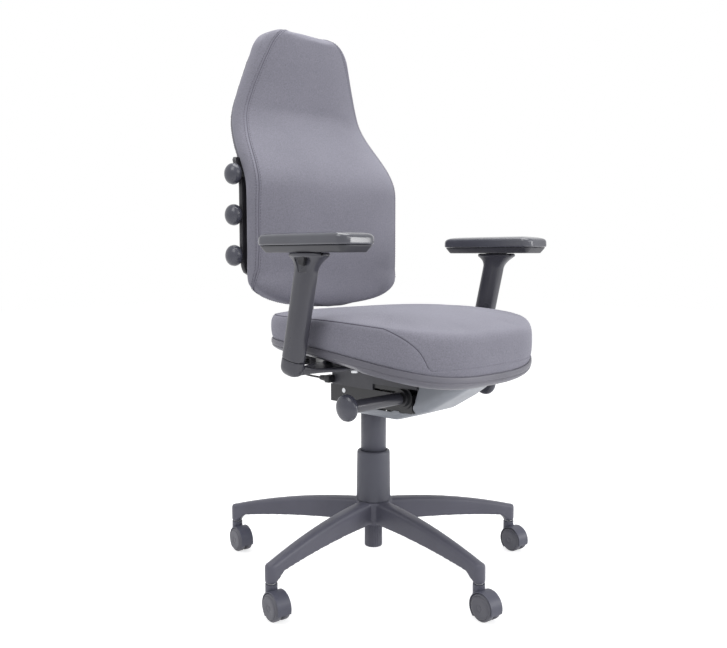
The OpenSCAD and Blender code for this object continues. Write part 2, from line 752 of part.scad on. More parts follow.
// A tube along a route of points, each ring square to the way it runs
function unit(v) = v / norm(v);
module route_tube(route, r, sides = 8) {
    n = len(route);
    function dir(i) = unit(route[min(i + 1, n - 1)] - route[max(i - 1, 0)]);
    points = [for (i = [0 : n - 1]) let (d = dir(i), u = unit(cross(d, [0, 0, 1])), v = cross(u, d))
        for (k = [0 : sides - 1]) route[i] + r * (cos(k * 360 / sides) * u + sin(k * 360 / sides) * v)];
    polyhedron(points, concat(
        [for (i = [0 : n - 2], k = [0 : sides - 1]) [i * sides + k, i * sides + (k + 1) % sides,
            (i + 1) * sides + (k + 1) % sides]],
        [for (i = [0 : n - 2], k = [0 : sides - 1]) [i * sides + k,
            (i + 1) * sides + (k + 1) % sides, (i + 1) * sides + k]],
        [[for (k = [sides - 1 : -1 : 0]) k]],
        [[for (k = [0 : sides - 1]) (n - 1) * sides + k]]), convexity = 6);
}

// Points of a smooth curve through the chosen ones
function spline_at(p, i, t) = let (n = len(p), a = p[max(i - 1, 0)], b = p[i], c = p[min(i + 1, n - 1)],
    d = p[min(i + 2, n - 1)]) 0.5 * (2 * b + (c - a) * t + (2 * a - 5 * b + 4 * c - d) * t * t
    + (3 * b - a - 3 * c + d) * t * t * t);
function spline(p, per = 3) = concat([for (i = [0 : len(p) - 2], k = [0 : per - 1])
    spline_at(p, i, k / per)], [p[len(p) - 1]]);

module slide_cable() color("black") {
    ear = trigger_w / 2 + 2;
    roof = shell_under(trigger_y - ear - 2) - 0.4;
    route_tube(spline(CABLE_ROUTE), cable_r);
    translate([-rail_x - rail_t - 18.02, 54, cable_z - 8]) cube([18, 14, 16]);
    translate([cable_x, 68, cable_z]) rotate([-90, 0, 0]) cylinder(r1 = 7, r2 = 4.5, h = 22);
    for (s = SIDES) translate([trigger_x - 8, trigger_y + s * ear - 1.5, trigger_z - 6])
        cube([16, 3, roof - trigger_z + 6]);
    translate([trigger_x - 8, trigger_y - ear - 1.5, roof - 2.5]) cube([30, 2 * ear + 3, 2.5]);
    translate([trigger_x + 14, trigger_y + ear - 1.5, trigger_z - 6]) cube([14, 18, roof - trigger_z + 6]);
    translate([trigger_x, trigger_y, trigger_z]) rotate([90, 0, 0])
        cylinder(r = 3, h = 2 * ear + 2, center = true);
}

// Back
module back_section(d0, d1) {
    zs = back_levels(0, 5, 31);
    rotate([90, 0, 90]) linear_extrude(height = 600, center = true) polygon(concat(
        [for (z = zs) [back_face(z) + back_t + d0, z]],
        [for (i = [len(zs) - 1 : -1 : 0]) [back_face(zs[i]) + back_t + d1, zs[i]]]));
}

module back_plan(inset) {
    zs = back_levels(inset, 6, 14);
    translate([0, 400, 0]) rotate([90, 0, 0]) linear_extrude(height = 400) polygon(concat(
        [for (z = zs) [back_edge(z, inset), z]],
        [for (i = [len(zs) - 1 : -1 : 0]) [-back_edge(zs[i], inset), zs[i]]]));
}

module back_cushion() color("gray") {
    rings = [for (z = back_levels(0, 5, 31)) let (half = back_edge(z, 0),
        thin = end_round(z - back_z0, edge_r) + end_round(back_z1 - z, edge_r),
        crown = back_crown * (0.35 + 0.65 * smooth(back_z0, back_z0 + 134, z)
            * smooth(tip_z1, tip_z1 - 358, z)))
        [for (i = [0 : back_ring - 1]) let (t = i * 360 / back_ring, c = cos(t), s = sin(t),
            x = half * sign(c) * pow(abs(c), 0.5),
            depth = sign(s) * pow(abs(s), 0.45),
            y = back_face(z) + back_t / 2 + depth * (back_t / 2 - (depth < 0 ? thin : thin / 3))
                - (depth < 0 ? crown * (1 - pow(x / half, 2)) : 0))
            [x, y, z]]];
    ring_loft(rings);
}

module back_board() color("tan") {
    intersection() {
        back_plan(shell_inset + 26);
        back_section(back_gap, back_gap + back_board_t);
    }
}

module back_shell() color("dimgray") {
    difference() {
        union() {
            intersection() {
                back_plan(shell_inset);
                back_section(back_gap, back_wall_d);
            }
            intersection() {
                back_plan(shell_inset + 44);
                back_section(4, back_pan_d);
            }
        }
        intersection() {
            back_plan(shell_inset + 4);
            back_section(-1, back_wall_d - 3.5);
        }
        intersection() {
            back_plan(shell_inset + 48);
            back_section(-1, back_pan_d - 3.5);
        }
        translate([-upright_w / 2 - 10, 100, slider_z - 8]) cube([upright_w + 20, 200, slider_h + 16]);
        at_lumbar_knobs(-strip_x - 20) cylinder(r = 7, h = 70);
    }
}

module at_lumbar_knobs(x) {
    for (i = [0 : 2]) translate([x, lumbar_knob_y, lumbar_z0 + i * lumbar_step])
        rotate([0, 90, 0]) children();
}

module knob_strip() color("black") {
    strip_z0 = lumbar_z0 - 42;
    strip_z1 = lumbar_z0 + 2 * lumbar_step + 38;
    edge = back_half_w - shell_inset + 0.3;
    difference() {
        union() {
            intersection() {
                back_section(back_gap, back_wall_d);
                translate([-strip_x + 4, 0, strip_z0]) cube([strip_x - 4 - edge, 400, strip_z1 - strip_z0]);
            }
            at_lumbar_knobs(-strip_x + 6) cylinder(r = 6.4, h = strip_x - 6 - edge + 8);
        }
        at_lumbar_knobs(-strip_x - 2) cylinder(r = 4 + run, h = 60);
    }
}

module lumbar_knob(i) color("dimgray") {
    translate([-strip_x - 0.6, lumbar_knob_y, lumbar_z0 + i * lumbar_step]) rotate([0, -90, 0])
        knob_form(lumbar_knob_d, 24);
    translate([-strip_x - 1, lumbar_knob_y, lumbar_z0 + i * lumbar_step]) rotate([0, 90, 0])
        cylinder(r = 4, h = 34);
}

// A point of the upright's bend, at radius r and angle a
function up_bend(r, a) = [up_y - up_r + r * cos(a), up_low + up_r + r * sin(a)];
module back_upright() color("darkslategray") {
    t = upright_t / 2;
    difference() {
        union() {
            rotate([90, 0, 90]) linear_extrude(height = upright_w, center = true) polygon(concat(
                [[recline_y + 3, recline_z - 6], [knee_y + 2, up_low - t]],
                [for (a = [-90 : 10 : 0]) up_bend(up_r + t, a)],
                [[up_y + t, up_top], [up_y - t, up_top]],
                [for (a = [0 : -10 : -90]) up_bend(up_r - t, a)],
                [[knee_y - 2, up_low + t], [recline_y - 3, recline_z + 6]]));
            at_recline() cylinder(r = 11, h = upright_w, center = true);
        }
        at_recline() cylinder(r = 5 + run, h = 200, center = true);
    }
}

// Slider that carries the back on the upright
module back_slider() color("black") {
    gap = 0.4;
    front = back_face(slider_z + slider_h / 2) + back_t + back_gap + back_board_t + 0.02;
    difference() {
        union() {
            translate([-upright_w / 2 - 7, up_y - upright_t / 2 - 8, slider_z])
                cube([upright_w + 14, upright_t + 14, slider_h]);
            for (s = SIDES, z = [16, slider_h - 16]) translate([s * (upright_w / 2 - 4), front, slider_z + z])
                rotate([-90, 0, 0]) cylinder(r = 7, h = up_y - upright_t / 2 - 7 - front);
        }
        translate([-upright_w / 2 - gap, up_y - upright_t / 2 - gap, slider_z - 1])
            cube([upright_w + 2 * gap, upright_t + 2 * gap, slider_h + 2]);
        translate([-12, up_y - 30, slider_z + 20]) cube([24, 26, slider_h - 40]);
    }
}

// Arms: s is -1 on the chair's right and 1 on its left
module at_arm(s) {
    translate([s * arm_x, arm_seam_y, arm_seam_z]) rotate([arm_lean, 0, 0]) children();
}

module foot_side() {
    translate([-arm_l / 2, -foot_h + foot_r]) square([arm_l, foot_h - foot_r]);
    translate([-arm_l / 2 + foot_r, -foot_h]) square([arm_l - 2 * foot_r, foot_r]);
    for (s = SIDES) translate([s * (arm_l / 2 - foot_r), -foot_h + foot_r]) circle(r = foot_r);
}

module arm_bracket(s) color("dimgray") {
    difference() {
        union() {
            at_arm(s) intersection() {
                translate([0, 0, -40]) linear_extrude(height = 40) stadium(arm_l, arm_w);
                rotate([90, 0, 90]) linear_extrude(height = 60, center = true) foot_side();
            }
            translate([0, 0, wing_z]) linear_extrude(height = wing_t) polygon([
                [s * (arm_x - 6), arm_seam_y - 18], [s * (arm_x - 6), arm_seam_y + 24],
                [s * (arm_x - 47), arm_seam_y + 30],
                [s * 200, -22], [s * wing_x, -22], [s * wing_x, -130], [s * 200, -130],
                [s * (arm_x - 43), arm_seam_y - 30]]);
            for (y = bolt_ys) translate([s * bolt_x, y, wing_z]) cylinder(r = 9, h = board_z - wing_z - 0.02);
        }
        for (y = bolt_ys) translate([s * bolt_x, y, wing_z - 1]) cylinder(r = 4.02, h = 60);
    }
    color("silver") at_arm(s) translate([0, 0, blade_up / 2 - 3])
        cube([blade_w, blade_l, blade_up + 6], center = true);
}

module arm_upright(s) color("dimgray") {
    difference() {
        union() {
            at_arm(s) translate([0, 0, slide_gap]) linear_extrude(height = arm_h) stadium(arm_l, arm_w);
            hull() {
                at_arm(s) translate([0, 0, arm_h - 6]) linear_extrude(height = 1) stadium(arm_l - 0.4, arm_w - 0.4);
                translate([s * arm_x, head_y, pad_z - head_drop])
                    linear_extrude(height = head_drop - flat_gap) stadium(head_l, head_w);
            }
        }
        at_arm(s) translate([0, 0, blade_up / 2]) cube([blade_w + 2 * slide_gap, blade_l + 2 * slide_gap,
            blade_up + 2 * slide_gap + 12], center = true);
        translate([s * arm_x, head_y, pad_z - 3])
            cube([pad_rail_w + 2 * slide_gap, 200, 6 + 2 * slide_gap], center = true);
        at_arm(s) translate([s * (arm_w / 2 + 1), button_y, button_z])
            cube([14, button_l + 0.8, button_h + 0.8], center = true);
    }
}

module arm_button(s) color("black") {
    at_arm(s) translate([s * (arm_w / 2 + 2), button_y, button_z]) difference() {
        cube([button_t, button_l, button_h], center = true);
        translate([s * 22, 0, 0]) rotate([90, 0, 0]) cylinder(r = 20, h = 40, center = true);
    }
}

module arm_pad_base(s) color("dimgray") {
    translate([s * pad_x, pad_y, pad_z]) hull() {
        linear_extrude(height = 1) rounded_plate(pad_w - 20, pad_l - 22, 14);
        translate([0, 0, pad_base_h - 1.2]) linear_extrude(height = 1) rounded_plate(pad_w - 8, pad_l - 8, 18);
    }
    translate([s * arm_x, head_y, pad_z - 2.9]) cube([pad_rail_w, pad_rail_l, 6], center = true);
}

module arm_pad(s) color("gray") {
    z0 = pad_z + pad_base_h;
    translate([s * pad_x, pad_y, z0]) intersection() {
        linear_extrude(height = 40) rounded_plate(pad_w, pad_l, pad_r);
        translate([0, 0, pad_top_h - pad_arch_r]) rotate([0, 90, 0])
            cylinder(r = pad_arch_r, h = 200, center = true, $fn = 180);
        union() {
            translate([0, 0, 7]) linear_extrude(height = 40) rounded_plate(pad_w, pad_l, pad_r);
            linear_extrude(height = 7.01) rounded_plate(pad_w - 2, pad_l - 2, pad_r - 1);
        }
    }
}

// Screws, as groups of the same kind
module seat_screws() color("silver") {
    for (s = SIDES, y = bolt_ys) translate([s * bolt_x, y, wing_z - 5.5]) {
        cylinder(r = 7, h = 5.4);
        cylinder(r = 4, h = board_z + 8 - wing_z + 5.5);
    }
    for (s = SIDES, y = rail_screw_ys) translate([s * (rail_x + 14), y, rail_top - 3 - 4.6]) {
        cylinder(r = 5.5, h = 4.5);
        cylinder(r = 3, h = board_z + 8 - rail_top + 7.6);
    }
}

module back_screws() color("silver") {
    for (s = SIDES, z = [16, slider_h - 16])
        translate([s * (upright_w / 2 - 4), up_y + upright_t / 2 + 6.02, slider_z + z])
        rotate([-90, 0, 0]) cylinder(r = 5, h = 3);
}

star_base();
caster_stems();
gas_cylinder();
column_lower_cover();
caster_body(1);  // caster_1_body
caster_body(2);  // caster_2_body
caster_body(3);  // caster_3_body
caster_body(4);  // caster_4_body
caster_body(5);  // caster_5_body
caster_wheel(1, RIGHT);  // caster_1_wheel_right
caster_wheel(2, RIGHT);  // caster_2_wheel_right
caster_wheel(3, RIGHT);  // caster_3_wheel_right
caster_wheel(4, RIGHT);  // caster_4_wheel_right
caster_wheel(5, RIGHT);  // caster_5_wheel_right
caster_wheel(1, LEFT);  // caster_1_wheel_left
caster_wheel(2, LEFT);  // caster_2_wheel_left
caster_wheel(3, LEFT);  // caster_3_wheel_left
caster_wheel(4, LEFT);  // caster_4_wheel_left
caster_wheel(5, LEFT);  // caster_5_wheel_left
piston_rod();
thrust_bearing();
pressure_tube();
column_upper_cover();
valve_button();
tilt_housing();
housing_cover();
tilt_spring();
recline_pin();
tension_shaft();
tension_knob();
height_lever();
height_knob();
tilt_plate();
slide_carriage();
seat_board();
seat_shell();
seat_cushion();
slide_trigger();
slide_cable();
back_upright();
back_slider();
back_board();
back_shell();
back_cushion();
knob_strip();
lumbar_knob(0);  // lumbar_knob_bottom
lumbar_knob(1);  // lumbar_knob_middle
lumbar_knob(2);  // lumbar_knob_top
arm_bracket(RIGHT);  // right_arm_bracket
arm_upright(RIGHT);  // right_arm_upright
arm_button(RIGHT);  // right_arm_button
arm_pad_base(RIGHT);  // right_arm_pad_base
arm_pad(RIGHT);  // right_arm_pad
arm_bracket(LEFT);  // left_arm_bracket
arm_upright(LEFT);  // left_arm_upright
arm_button(LEFT);  // left_arm_button
arm_pad_base(LEFT);  // left_arm_pad_base
arm_pad(LEFT);  // left_arm_pad
seat_screws();
back_screws();
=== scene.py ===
import json
from math import cos, pi, radians, sin, sqrt, tan

import bmesh
import bpy
import numpy as np
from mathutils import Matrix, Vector


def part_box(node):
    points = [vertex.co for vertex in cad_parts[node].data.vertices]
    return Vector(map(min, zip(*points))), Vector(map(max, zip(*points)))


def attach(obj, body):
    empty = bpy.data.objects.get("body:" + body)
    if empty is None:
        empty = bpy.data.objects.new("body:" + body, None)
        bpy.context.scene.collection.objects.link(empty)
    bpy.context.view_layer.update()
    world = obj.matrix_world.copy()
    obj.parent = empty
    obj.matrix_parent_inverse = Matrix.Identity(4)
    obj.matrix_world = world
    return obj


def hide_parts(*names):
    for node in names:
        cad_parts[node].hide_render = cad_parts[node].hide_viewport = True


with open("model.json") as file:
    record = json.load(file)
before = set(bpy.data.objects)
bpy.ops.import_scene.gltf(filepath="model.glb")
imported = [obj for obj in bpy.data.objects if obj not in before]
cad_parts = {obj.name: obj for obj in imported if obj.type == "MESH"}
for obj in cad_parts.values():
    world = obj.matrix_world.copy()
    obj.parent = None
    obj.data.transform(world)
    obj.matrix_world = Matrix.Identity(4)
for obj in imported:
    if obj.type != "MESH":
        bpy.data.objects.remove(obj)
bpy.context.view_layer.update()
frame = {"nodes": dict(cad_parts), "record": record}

MM = 0.001
RIGHT, LEFT = -1, 1
SIDES = {"right": RIGHT, "left": LEFT}


# Small helpers
def clamp(v, low=0.0, high=1.0):
    return min(high, max(low, v))


def smooth(a, b, x):
    """From 0 at a to 1 at b, level at both ends."""
    t = clamp((x - a) / (b - a))
    return t * t * (3 - 2 * t)


def mix(a, b, t):
    return a + (b - a) * t


def power(v, p):
    """A power that keeps the sign of v."""
    return abs(v) ** p * (1 if v >= 0 else -1)


def box_mm(node):
    """The lowest and the highest corner of a CAD node, in millimetres."""
    return [tuple(c / MM for c in corner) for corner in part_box(node)]


def add_object(name, data):
    obj = bpy.data.objects.new(name, data)
    bpy.context.scene.collection.objects.link(obj)
    return obj


def new_object(name, verts, faces, material):
    """A smooth mesh object of points in millimetres."""
    mesh = bpy.data.meshes.new(name)
    mesh.from_pydata([tuple(c * MM for c in v) for v in verts], [], faces)
    mesh.update()
    mesh.materials.append(material)
    for p in mesh.polygons:
        p.use_smooth = True
    return add_object(name, mesh)


def ring_faces(count, size):
    """Quads that join each ring of points with the next one."""
    return [(k * size + i, k * size + (i + 1) % size, (k + 1) * size + (i + 1) % size, (k + 1) * size + i)
            for k in range(count - 1) for i in range(size)]


def loft(name, rings, material, capped=True):
    """A skin over rings that all have the same number of points, closed at its ends if it is capped."""
    size = len(rings[0])
    faces = ring_faces(len(rings), size)
    if capped:
        faces.append(tuple(range(size - 1, -1, -1)))
        faces.append(tuple(range((len(rings) - 1) * size, len(rings) * size)))
    obj = new_object(name, [p for r in rings for p in r], faces, material)
    fix_normals(obj)
    return obj


def fix_normals(obj):
    """Turns all the faces outward."""
    bm = bmesh.new()
    bm.from_mesh(obj.data)
    bmesh.ops.recalc_face_normals(bm, faces=bm.faces)
    bm.to_mesh(obj.data)
    bm.free()


def standing(x0=0, y0=0, z0=0):
    """The place of a turned piece whose axis points up from a point."""
    return lambda x, y, z: (x0 + x, y0 + y, z0 + z)


def sideways(x0, y0, z0, s):
    """The place of a turned piece whose axis points to the chair's left, or to its right where s is -1."""
    return lambda x, y, z: (x0 + s * z, y0 + x, z0 + y)


def rearward(x0, y0, z0):
    """The place of a turned piece whose axis points to the rear."""
    return lambda x, y, z: (x0 + x, y0 + z, z0 + y)


def lathe(name, profile, material, place, turns=64, flutes=0, flute_depth=0.0, fluted=lambda z: False):
    """A turned piece: profile is (radius, height) in millimetres, place puts it in the chair."""
    rings = []
    for r, z in profile:
        ring = []
        for i in range(turns):
            a = 2 * pi * i / turns
            depth = flute_depth * (0.5 - 0.5 * cos(flutes * a)) if flutes and fluted(z) else 0
            ring.append(place((r - depth) * cos(a), (r - depth) * sin(a), z))
        rings.append(ring)
    return loft(name, rings, material)


def apply_modifiers(obj):
    """Leaves the result of the modifiers as the mesh itself."""
    bpy.context.view_layer.update()
    result = bpy.data.meshes.new_from_object(obj.evaluated_get(bpy.context.evaluated_depsgraph_get()))
    obj.modifiers.clear()
    old = obj.data
    obj.data = result
    bpy.data.meshes.remove(old)
    for p in obj.data.polygons:
        p.use_smooth = True
    return obj


def subdivide(obj, levels):
    """Rounds the skin by subdividing it."""
    m = obj.modifiers.new("subdivide", "SUBSURF")
    m.levels = m.render_levels = levels
    return apply_modifiers(obj)


def soften(obj, voxel, passes):
    """Melts the pieces of one object together and rounds its edges, as a moulding has them."""
    m = obj.modifiers.new("remesh", "REMESH")
    m.mode = "VOXEL"
    m.voxel_size = voxel * MM
    s = obj.modifiers.new("smooth", "SMOOTH")
    s.iterations = passes
    s.factor = 0.5
    return apply_modifiers(obj)


def join(name, objs):
    """One object of several, which keep their materials."""
    bm = bmesh.new()
    slots = []
    for o in objs:
        start = len(bm.faces)
        bm.from_mesh(o.data)
        bm.faces.ensure_lookup_table()
        material = o.data.materials[0]
        if material not in slots:
            slots.append(material)
        for f in bm.faces[start:]:
            f.material_index = slots.index(material)
    mesh = bpy.data.meshes.new(name)
    bm.to_mesh(mesh)
    bm.free()
    for m in slots:
        mesh.materials.append(m)
    for o in objs:
        bpy.data.objects.remove(o)
    return add_object(name, mesh)


def stand_for(obj, body, slot_name, *nodes):
    """Puts a finished piece on its body, in place of the CAD nodes that it shows."""
    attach(obj, body)
    if nodes:
        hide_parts(*nodes)
    return obj


def node_copy(node, name, material):
    """A new object with the CAD node's own shape."""
    mesh = frame["nodes"][node].data.copy()
    mesh.materials.clear()
    mesh.materials.append(material)
    return add_object(name, mesh)


def softened_copy(node, voxel, passes, material, body, slot_name, name):
    """The CAD node's own shape, softened as a moulding."""
    return stand_for(soften(node_copy(node, name, material), voxel, passes), body, slot_name, node)


def rounded_copy(node, width, material, body, slot_name, name, angle=32):
    """The CAD node's own shape with its edges rounded by width, in millimetres."""
    obj = node_copy(node, name, material)
    mesh = obj.data
    bm = bmesh.new()
    bm.from_mesh(mesh)
    bmesh.ops.remove_doubles(bm, verts=bm.verts, dist=0.00002)
    bmesh.ops.dissolve_limit(bm, angle_limit=radians(1.0), verts=bm.verts, edges=bm.edges)
    for e in bm.edges:
        e.smooth = True
    for f in bm.faces:
        f.smooth = True
    bm.to_mesh(mesh)
    bm.free()
    bevel = obj.modifiers.new("edges", "BEVEL")
    bevel.width = width * MM
    bevel.segments = 2
    bevel.limit_method = "ANGLE"
    bevel.angle_limit = radians(angle)
    bevel.use_clamp_overlap = True
    bevel.harden_normals = False
    shading = obj.modifiers.new("normals", "WEIGHTED_NORMAL")
    shading.keep_sharp = True
    apply_modifiers(obj)
    return stand_for(obj, body, slot_name, node)


# Materials
def fill(tree, node, values):
    """Sets each named socket of a node to a value, or links it to another node's output."""
    for socket, value in values.items():
        if isinstance(value, bpy.types.NodeSocket):
            tree.links.new(value, node.inputs[socket])
        else:
            node.inputs[socket].default_value = value


def add_node(tree, kind, values):
    """A new shader node with its sockets filled."""
    node = tree.nodes.new("ShaderNode" + kind)
    fill(tree, node, values)
    return node


def add_math(tree, operation, a, b):
    """The result of an operation on two values or outputs."""
    node = add_node(tree, "Math", {0: a, 1: b})
    node.operation = operation
    return node.outputs[0]


class Nodes:
    """A material's node tree, with short calls for the nodes used here."""

    def __init__(self, name, rough, values):
        self.material = bpy.data.materials.new(name)
        self.material.use_nodes = True
        self.tree = self.material.node_tree
        self.shader = self.tree.nodes["Principled BSDF"]
        fill(self.tree, self.shader, {"Roughness": rough, **values})
        self.coord = add_node(self.tree, "TexCoord", {}).outputs["Object"]

    def noise(self, scale, detail, stretch=(1, 1, 1)):
        place = add_node(self.tree, "Mapping", {"Scale": stretch, "Vector": self.coord}).outputs["Vector"]
        values = {"Scale": scale, "Detail": detail, "Vector": place}
        return add_node(self.tree, "TexNoise", values).outputs["Fac"]

    def wave(self, scale, direction):
        values = {"Scale": scale, "Distortion": 0.6, "Detail": 1.0, "Detail Scale": 2.0, "Vector": self.coord}
        node = add_node(self.tree, "TexWave", values)
        node.wave_type = "BANDS"
        node.bands_direction = direction
        return node.outputs["Fac"]

    def math(self, operation, a, b):
        return add_math(self.tree, operation, a, b)

    def times_plus(self, value, factor, more):
        """value * factor + more"""
        return self.math("ADD", self.math("MULTIPLY", value, factor), more)

    def ramp(self, fac, colour, *stops):
        """Shades of one colour, each stop a place on the ramp and the shade's factor."""
        node = add_node(self.tree, "ValToRGB", {"Fac": fac})
        while len(node.color_ramp.elements) < len(stops):
            node.color_ramp.elements.new(0.5)
        for e, (at, factor) in zip(node.color_ramp.elements, stops):
            e.position = at
            e.color = (*(clamp(c * factor) for c in colour), 1)
        return node.outputs["Color"]

    def bump(self, height, distance, strength):
        values = {"Strength": strength, "Distance": distance * MM, "Height": height}
        return add_node(self.tree, "Bump", values).outputs["Normal"]

    def finish(self, colour, normal, rough=None):
        values = {"Base Color": colour, "Normal": normal}
        if rough is not None:
            values["Roughness"] = rough
        fill(self.tree, self.shader, values)
        return self.material


def linear(r, g, b):
    """A colour as a picture shows it, 0 to 255, as the light it stands for."""
    shares = (r / 255, g / 255, b / 255)
    return tuple(c / 12.92 if c <= 0.04045 else ((c + 0.055) / 1.055) ** 2.4 for c in shares)


def moulded(name, colour, rough=0.5, grain=1.0, specular=0.4):
    """Moulded plastic: fine spark grain, faint flow marks and a worn sheen in patches."""
    n = Nodes(name, rough, {"Specular IOR Level": specular})
    tone = n.ramp(n.noise(9, 4), colour, (0.3, 0.9), (0.7, 1.1))
    normal = n.bump(n.noise(1500, 2), 0.06 * grain, 0.35)
    return n.finish(tone, normal, n.times_plus(n.noise(24, 5), 0.16, rough - 0.08))


def powder_coat(name, colour, rough=0.38):
    """Powder coated steel: slight orange peel."""
    n = Nodes(name, rough, {})
    tone = n.ramp(n.noise(14, 3), colour, (0.35, 0.88), (0.65, 1.12))
    normal = n.bump(n.noise(420, 2), 0.12, 0.3)
    return n.finish(tone, normal, n.times_plus(n.noise(40, 3), 0.14, rough - 0.07))


def plated_steel(name, colour, rough):
    """Zinc plated steel with fine turning marks."""
    n = Nodes(name, rough, {"Metallic": 1.0})
    tone = n.ramp(n.noise(60, 4), colour, (0.3, 0.85), (0.7, 1.08))
    normal = n.bump(n.noise(600, 2, (1, 1, 6)), 0.03, 0.3)
    return n.finish(tone, normal, n.times_plus(n.noise(90, 3), 0.2, rough - 0.1))


def pad_skin(name, colour):
    """Soft integral skin of the arm pads: smooth, with a soft gloss over a very fine leather grain."""
    n = Nodes(name, 0.24, {"Specular IOR Level": 0.6, "Coat Weight": 0.3, "Coat Roughness": 0.16})
    tone = n.ramp(n.noise(12, 3), colour, (0.3, 0.92), (0.7, 1.08))
    normal = n.bump(n.noise(900, 3), 0.004, 0.2)
    return n.finish(tone, normal, n.times_plus(n.noise(30, 3), 0.08, 0.2))


def wool(name, colour):
    """Close woven wool: fine threads in three directions, melange yarn and a soft nap."""
    n = Nodes(name, 0.92, {"Specular IOR Level": 0.2, "Sheen Weight": 0.35, "Sheen Roughness": 0.45,
                           "Sheen Tint": (0.8, 0.8, 0.9, 1)})
    threads = n.wave(230, "X")
    for direction in ("Z", "Y"):
        threads = n.math("MAXIMUM", threads, n.wave(230, direction))
    yarn = n.noise(420, 3)
    mixed = n.times_plus(yarn, 0.5, n.math("MULTIPLY", n.noise(1300, 2), 0.3))
    mixed = n.times_plus(n.noise(7, 3), 0.2, mixed)
    tone = n.ramp(mixed, colour, (0.3, 0.74), (0.5, 1), (0.7, 1.26))
    height = n.times_plus(threads, 0.6, n.math("MULTIPLY", yarn, 0.7))
    return n.finish(tone, n.bump(height, 0.35, 0.5))


def plywood(name, colour):
    """Moulded beech plywood."""
    n = Nodes(name, 0.6, {})
    grain = n.noise(26, 6, (1, 9, 1))
    tone = n.ramp(grain, colour, (0.3, 0.72), (0.7, 1.2))
    return n.finish(tone, n.bump(grain, 0.2, 0.3))


BASE_PLASTIC = moulded("base plastic", linear(92, 92, 104), 0.44)
COVER_PLASTIC = moulded("cover plastic", linear(88, 89, 99), 0.46)
BOWL_PLASTIC = moulded("bowl plastic", linear(156, 160, 167), 0.42)
HOOD_PLASTIC = moulded("hood plastic", linear(84, 85, 98), 0.42)
WHEEL_PLASTIC = moulded("wheel plastic", linear(98, 98, 106), 0.46)
KNOB_PLASTIC = moulded("knob plastic", linear(72, 73, 84), 0.24, grain=0.3, specular=0.5)
STRIP_PLASTIC = moulded("strip plastic", linear(56, 55, 60), 0.4)
SHELL_PLASTIC = moulded("shell plastic", linear(108, 107, 116), 0.46)
ARM_PLASTIC = moulded("arm plastic", linear(68, 68, 76), 0.3, grain=0.4, specular=0.5)
BLACK_PLASTIC = moulded("black plastic", linear(44, 44, 48), 0.5)
BASE_SKIN = moulded("pad base plastic", linear(58, 58, 64), 0.36, grain=0.4)
PAD_SKIN = pad_skin("pad skin", linear(74, 75, 84))
BLACK_STEEL = powder_coat("black steel", linear(44, 44, 47))
GREY_STEEL = powder_coat("grey steel", linear(72, 72, 78), 0.42)
STEEL = plated_steel("plated steel", (0.62, 0.63, 0.65), 0.3)
FABRIC = wool("grey wool", linear(134, 133, 144))
# Colour of the stitches' thread; on the cord sunk in each seam's groove the same dark colour is painted shade
# of the groove
THREAD_AND_GROOVE_SHADE = moulded("seam thread and groove shade", linear(98, 96, 108), 0.9, specular=0.1)
BOARD = plywood("beech plywood", linear(196, 160, 118))

FINISH = {
    "base_plastic": BASE_PLASTIC, "steel": STEEL, "black_steel": BLACK_STEEL, "cover_plastic": COVER_PLASTIC,
    "bowl_plastic": BOWL_PLASTIC, "caster_plastic": HOOD_PLASTIC, "wheel_plastic": WHEEL_PLASTIC,
    "knob_plastic": KNOB_PLASTIC, "board_wood": BOARD, "shell_plastic": SHELL_PLASTIC, "fabric": FABRIC,
    "black_plastic": BLACK_PLASTIC, "arm_plastic": ARM_PLASTIC, "arm_pad_skin": PAD_SKIN,
}


def dress_frame():
    """Every CAD node gets the finish of its slot."""
    for part in frame["record"]["subparts"]:
        node = frame["nodes"][part["node"]]
        node.data.materials.clear()
        node.data.materials.append(FINISH[part["material_slot"]])


# Camera, floor and light
CAMERA_AT = (-1.260, -1.208, 0.6673)
CAMERA_TURN = 45.5
CAMERA_PITCH = 0.082
LENS = 40.77
SENSOR = 36
ROOM_LIGHT = 0.42
PAPER_ALBEDO = (0.8, 0.8, 0.82, 1)
SHADOW_ALBEDO = (0.7, 0.7, 0.71, 1)
PAPER_GLOW = 0.706
FLOOR_HALF = 9000


def make_camera():
    """The camera, fitted to the photograph."""
    data = bpy.data.cameras.new("camera")
    data.lens = LENS
    data.sensor_width = SENSOR
    data.dof.use_dof = False
    camera = add_object("camera", data)
    camera.location = CAMERA_AT
    camera.rotation_euler = (pi / 2 - CAMERA_PITCH, 0, -radians(CAMERA_TURN))
    bpy.context.scene.camera = camera


def area_light(name, at, target, size, power_w):
    """A rectangular lamp that points at a target, in metres."""
    data = bpy.data.lights.new(name, "AREA")
    data.shape = "RECTANGLE"
    data.size, data.size_y = size
    data.energy = power_w
    light = add_object(name, data)
    light.location = at
    light.rotation_euler = (Vector(target) - Vector(at)).to_track_quat("-Z", "Y").to_euler()


def seen_directly(tree):
    """1 for the rays of the camera, and for those that show the room in gloss or glass."""
    path = tree.nodes.new("ShaderNodeLightPath")
    last = path.outputs["Is Camera Ray"]
    for name in ("Is Glossy Ray", "Is Transmission Ray"):
        last = add_math(tree, "MAXIMUM", last, path.outputs[name])
    return last


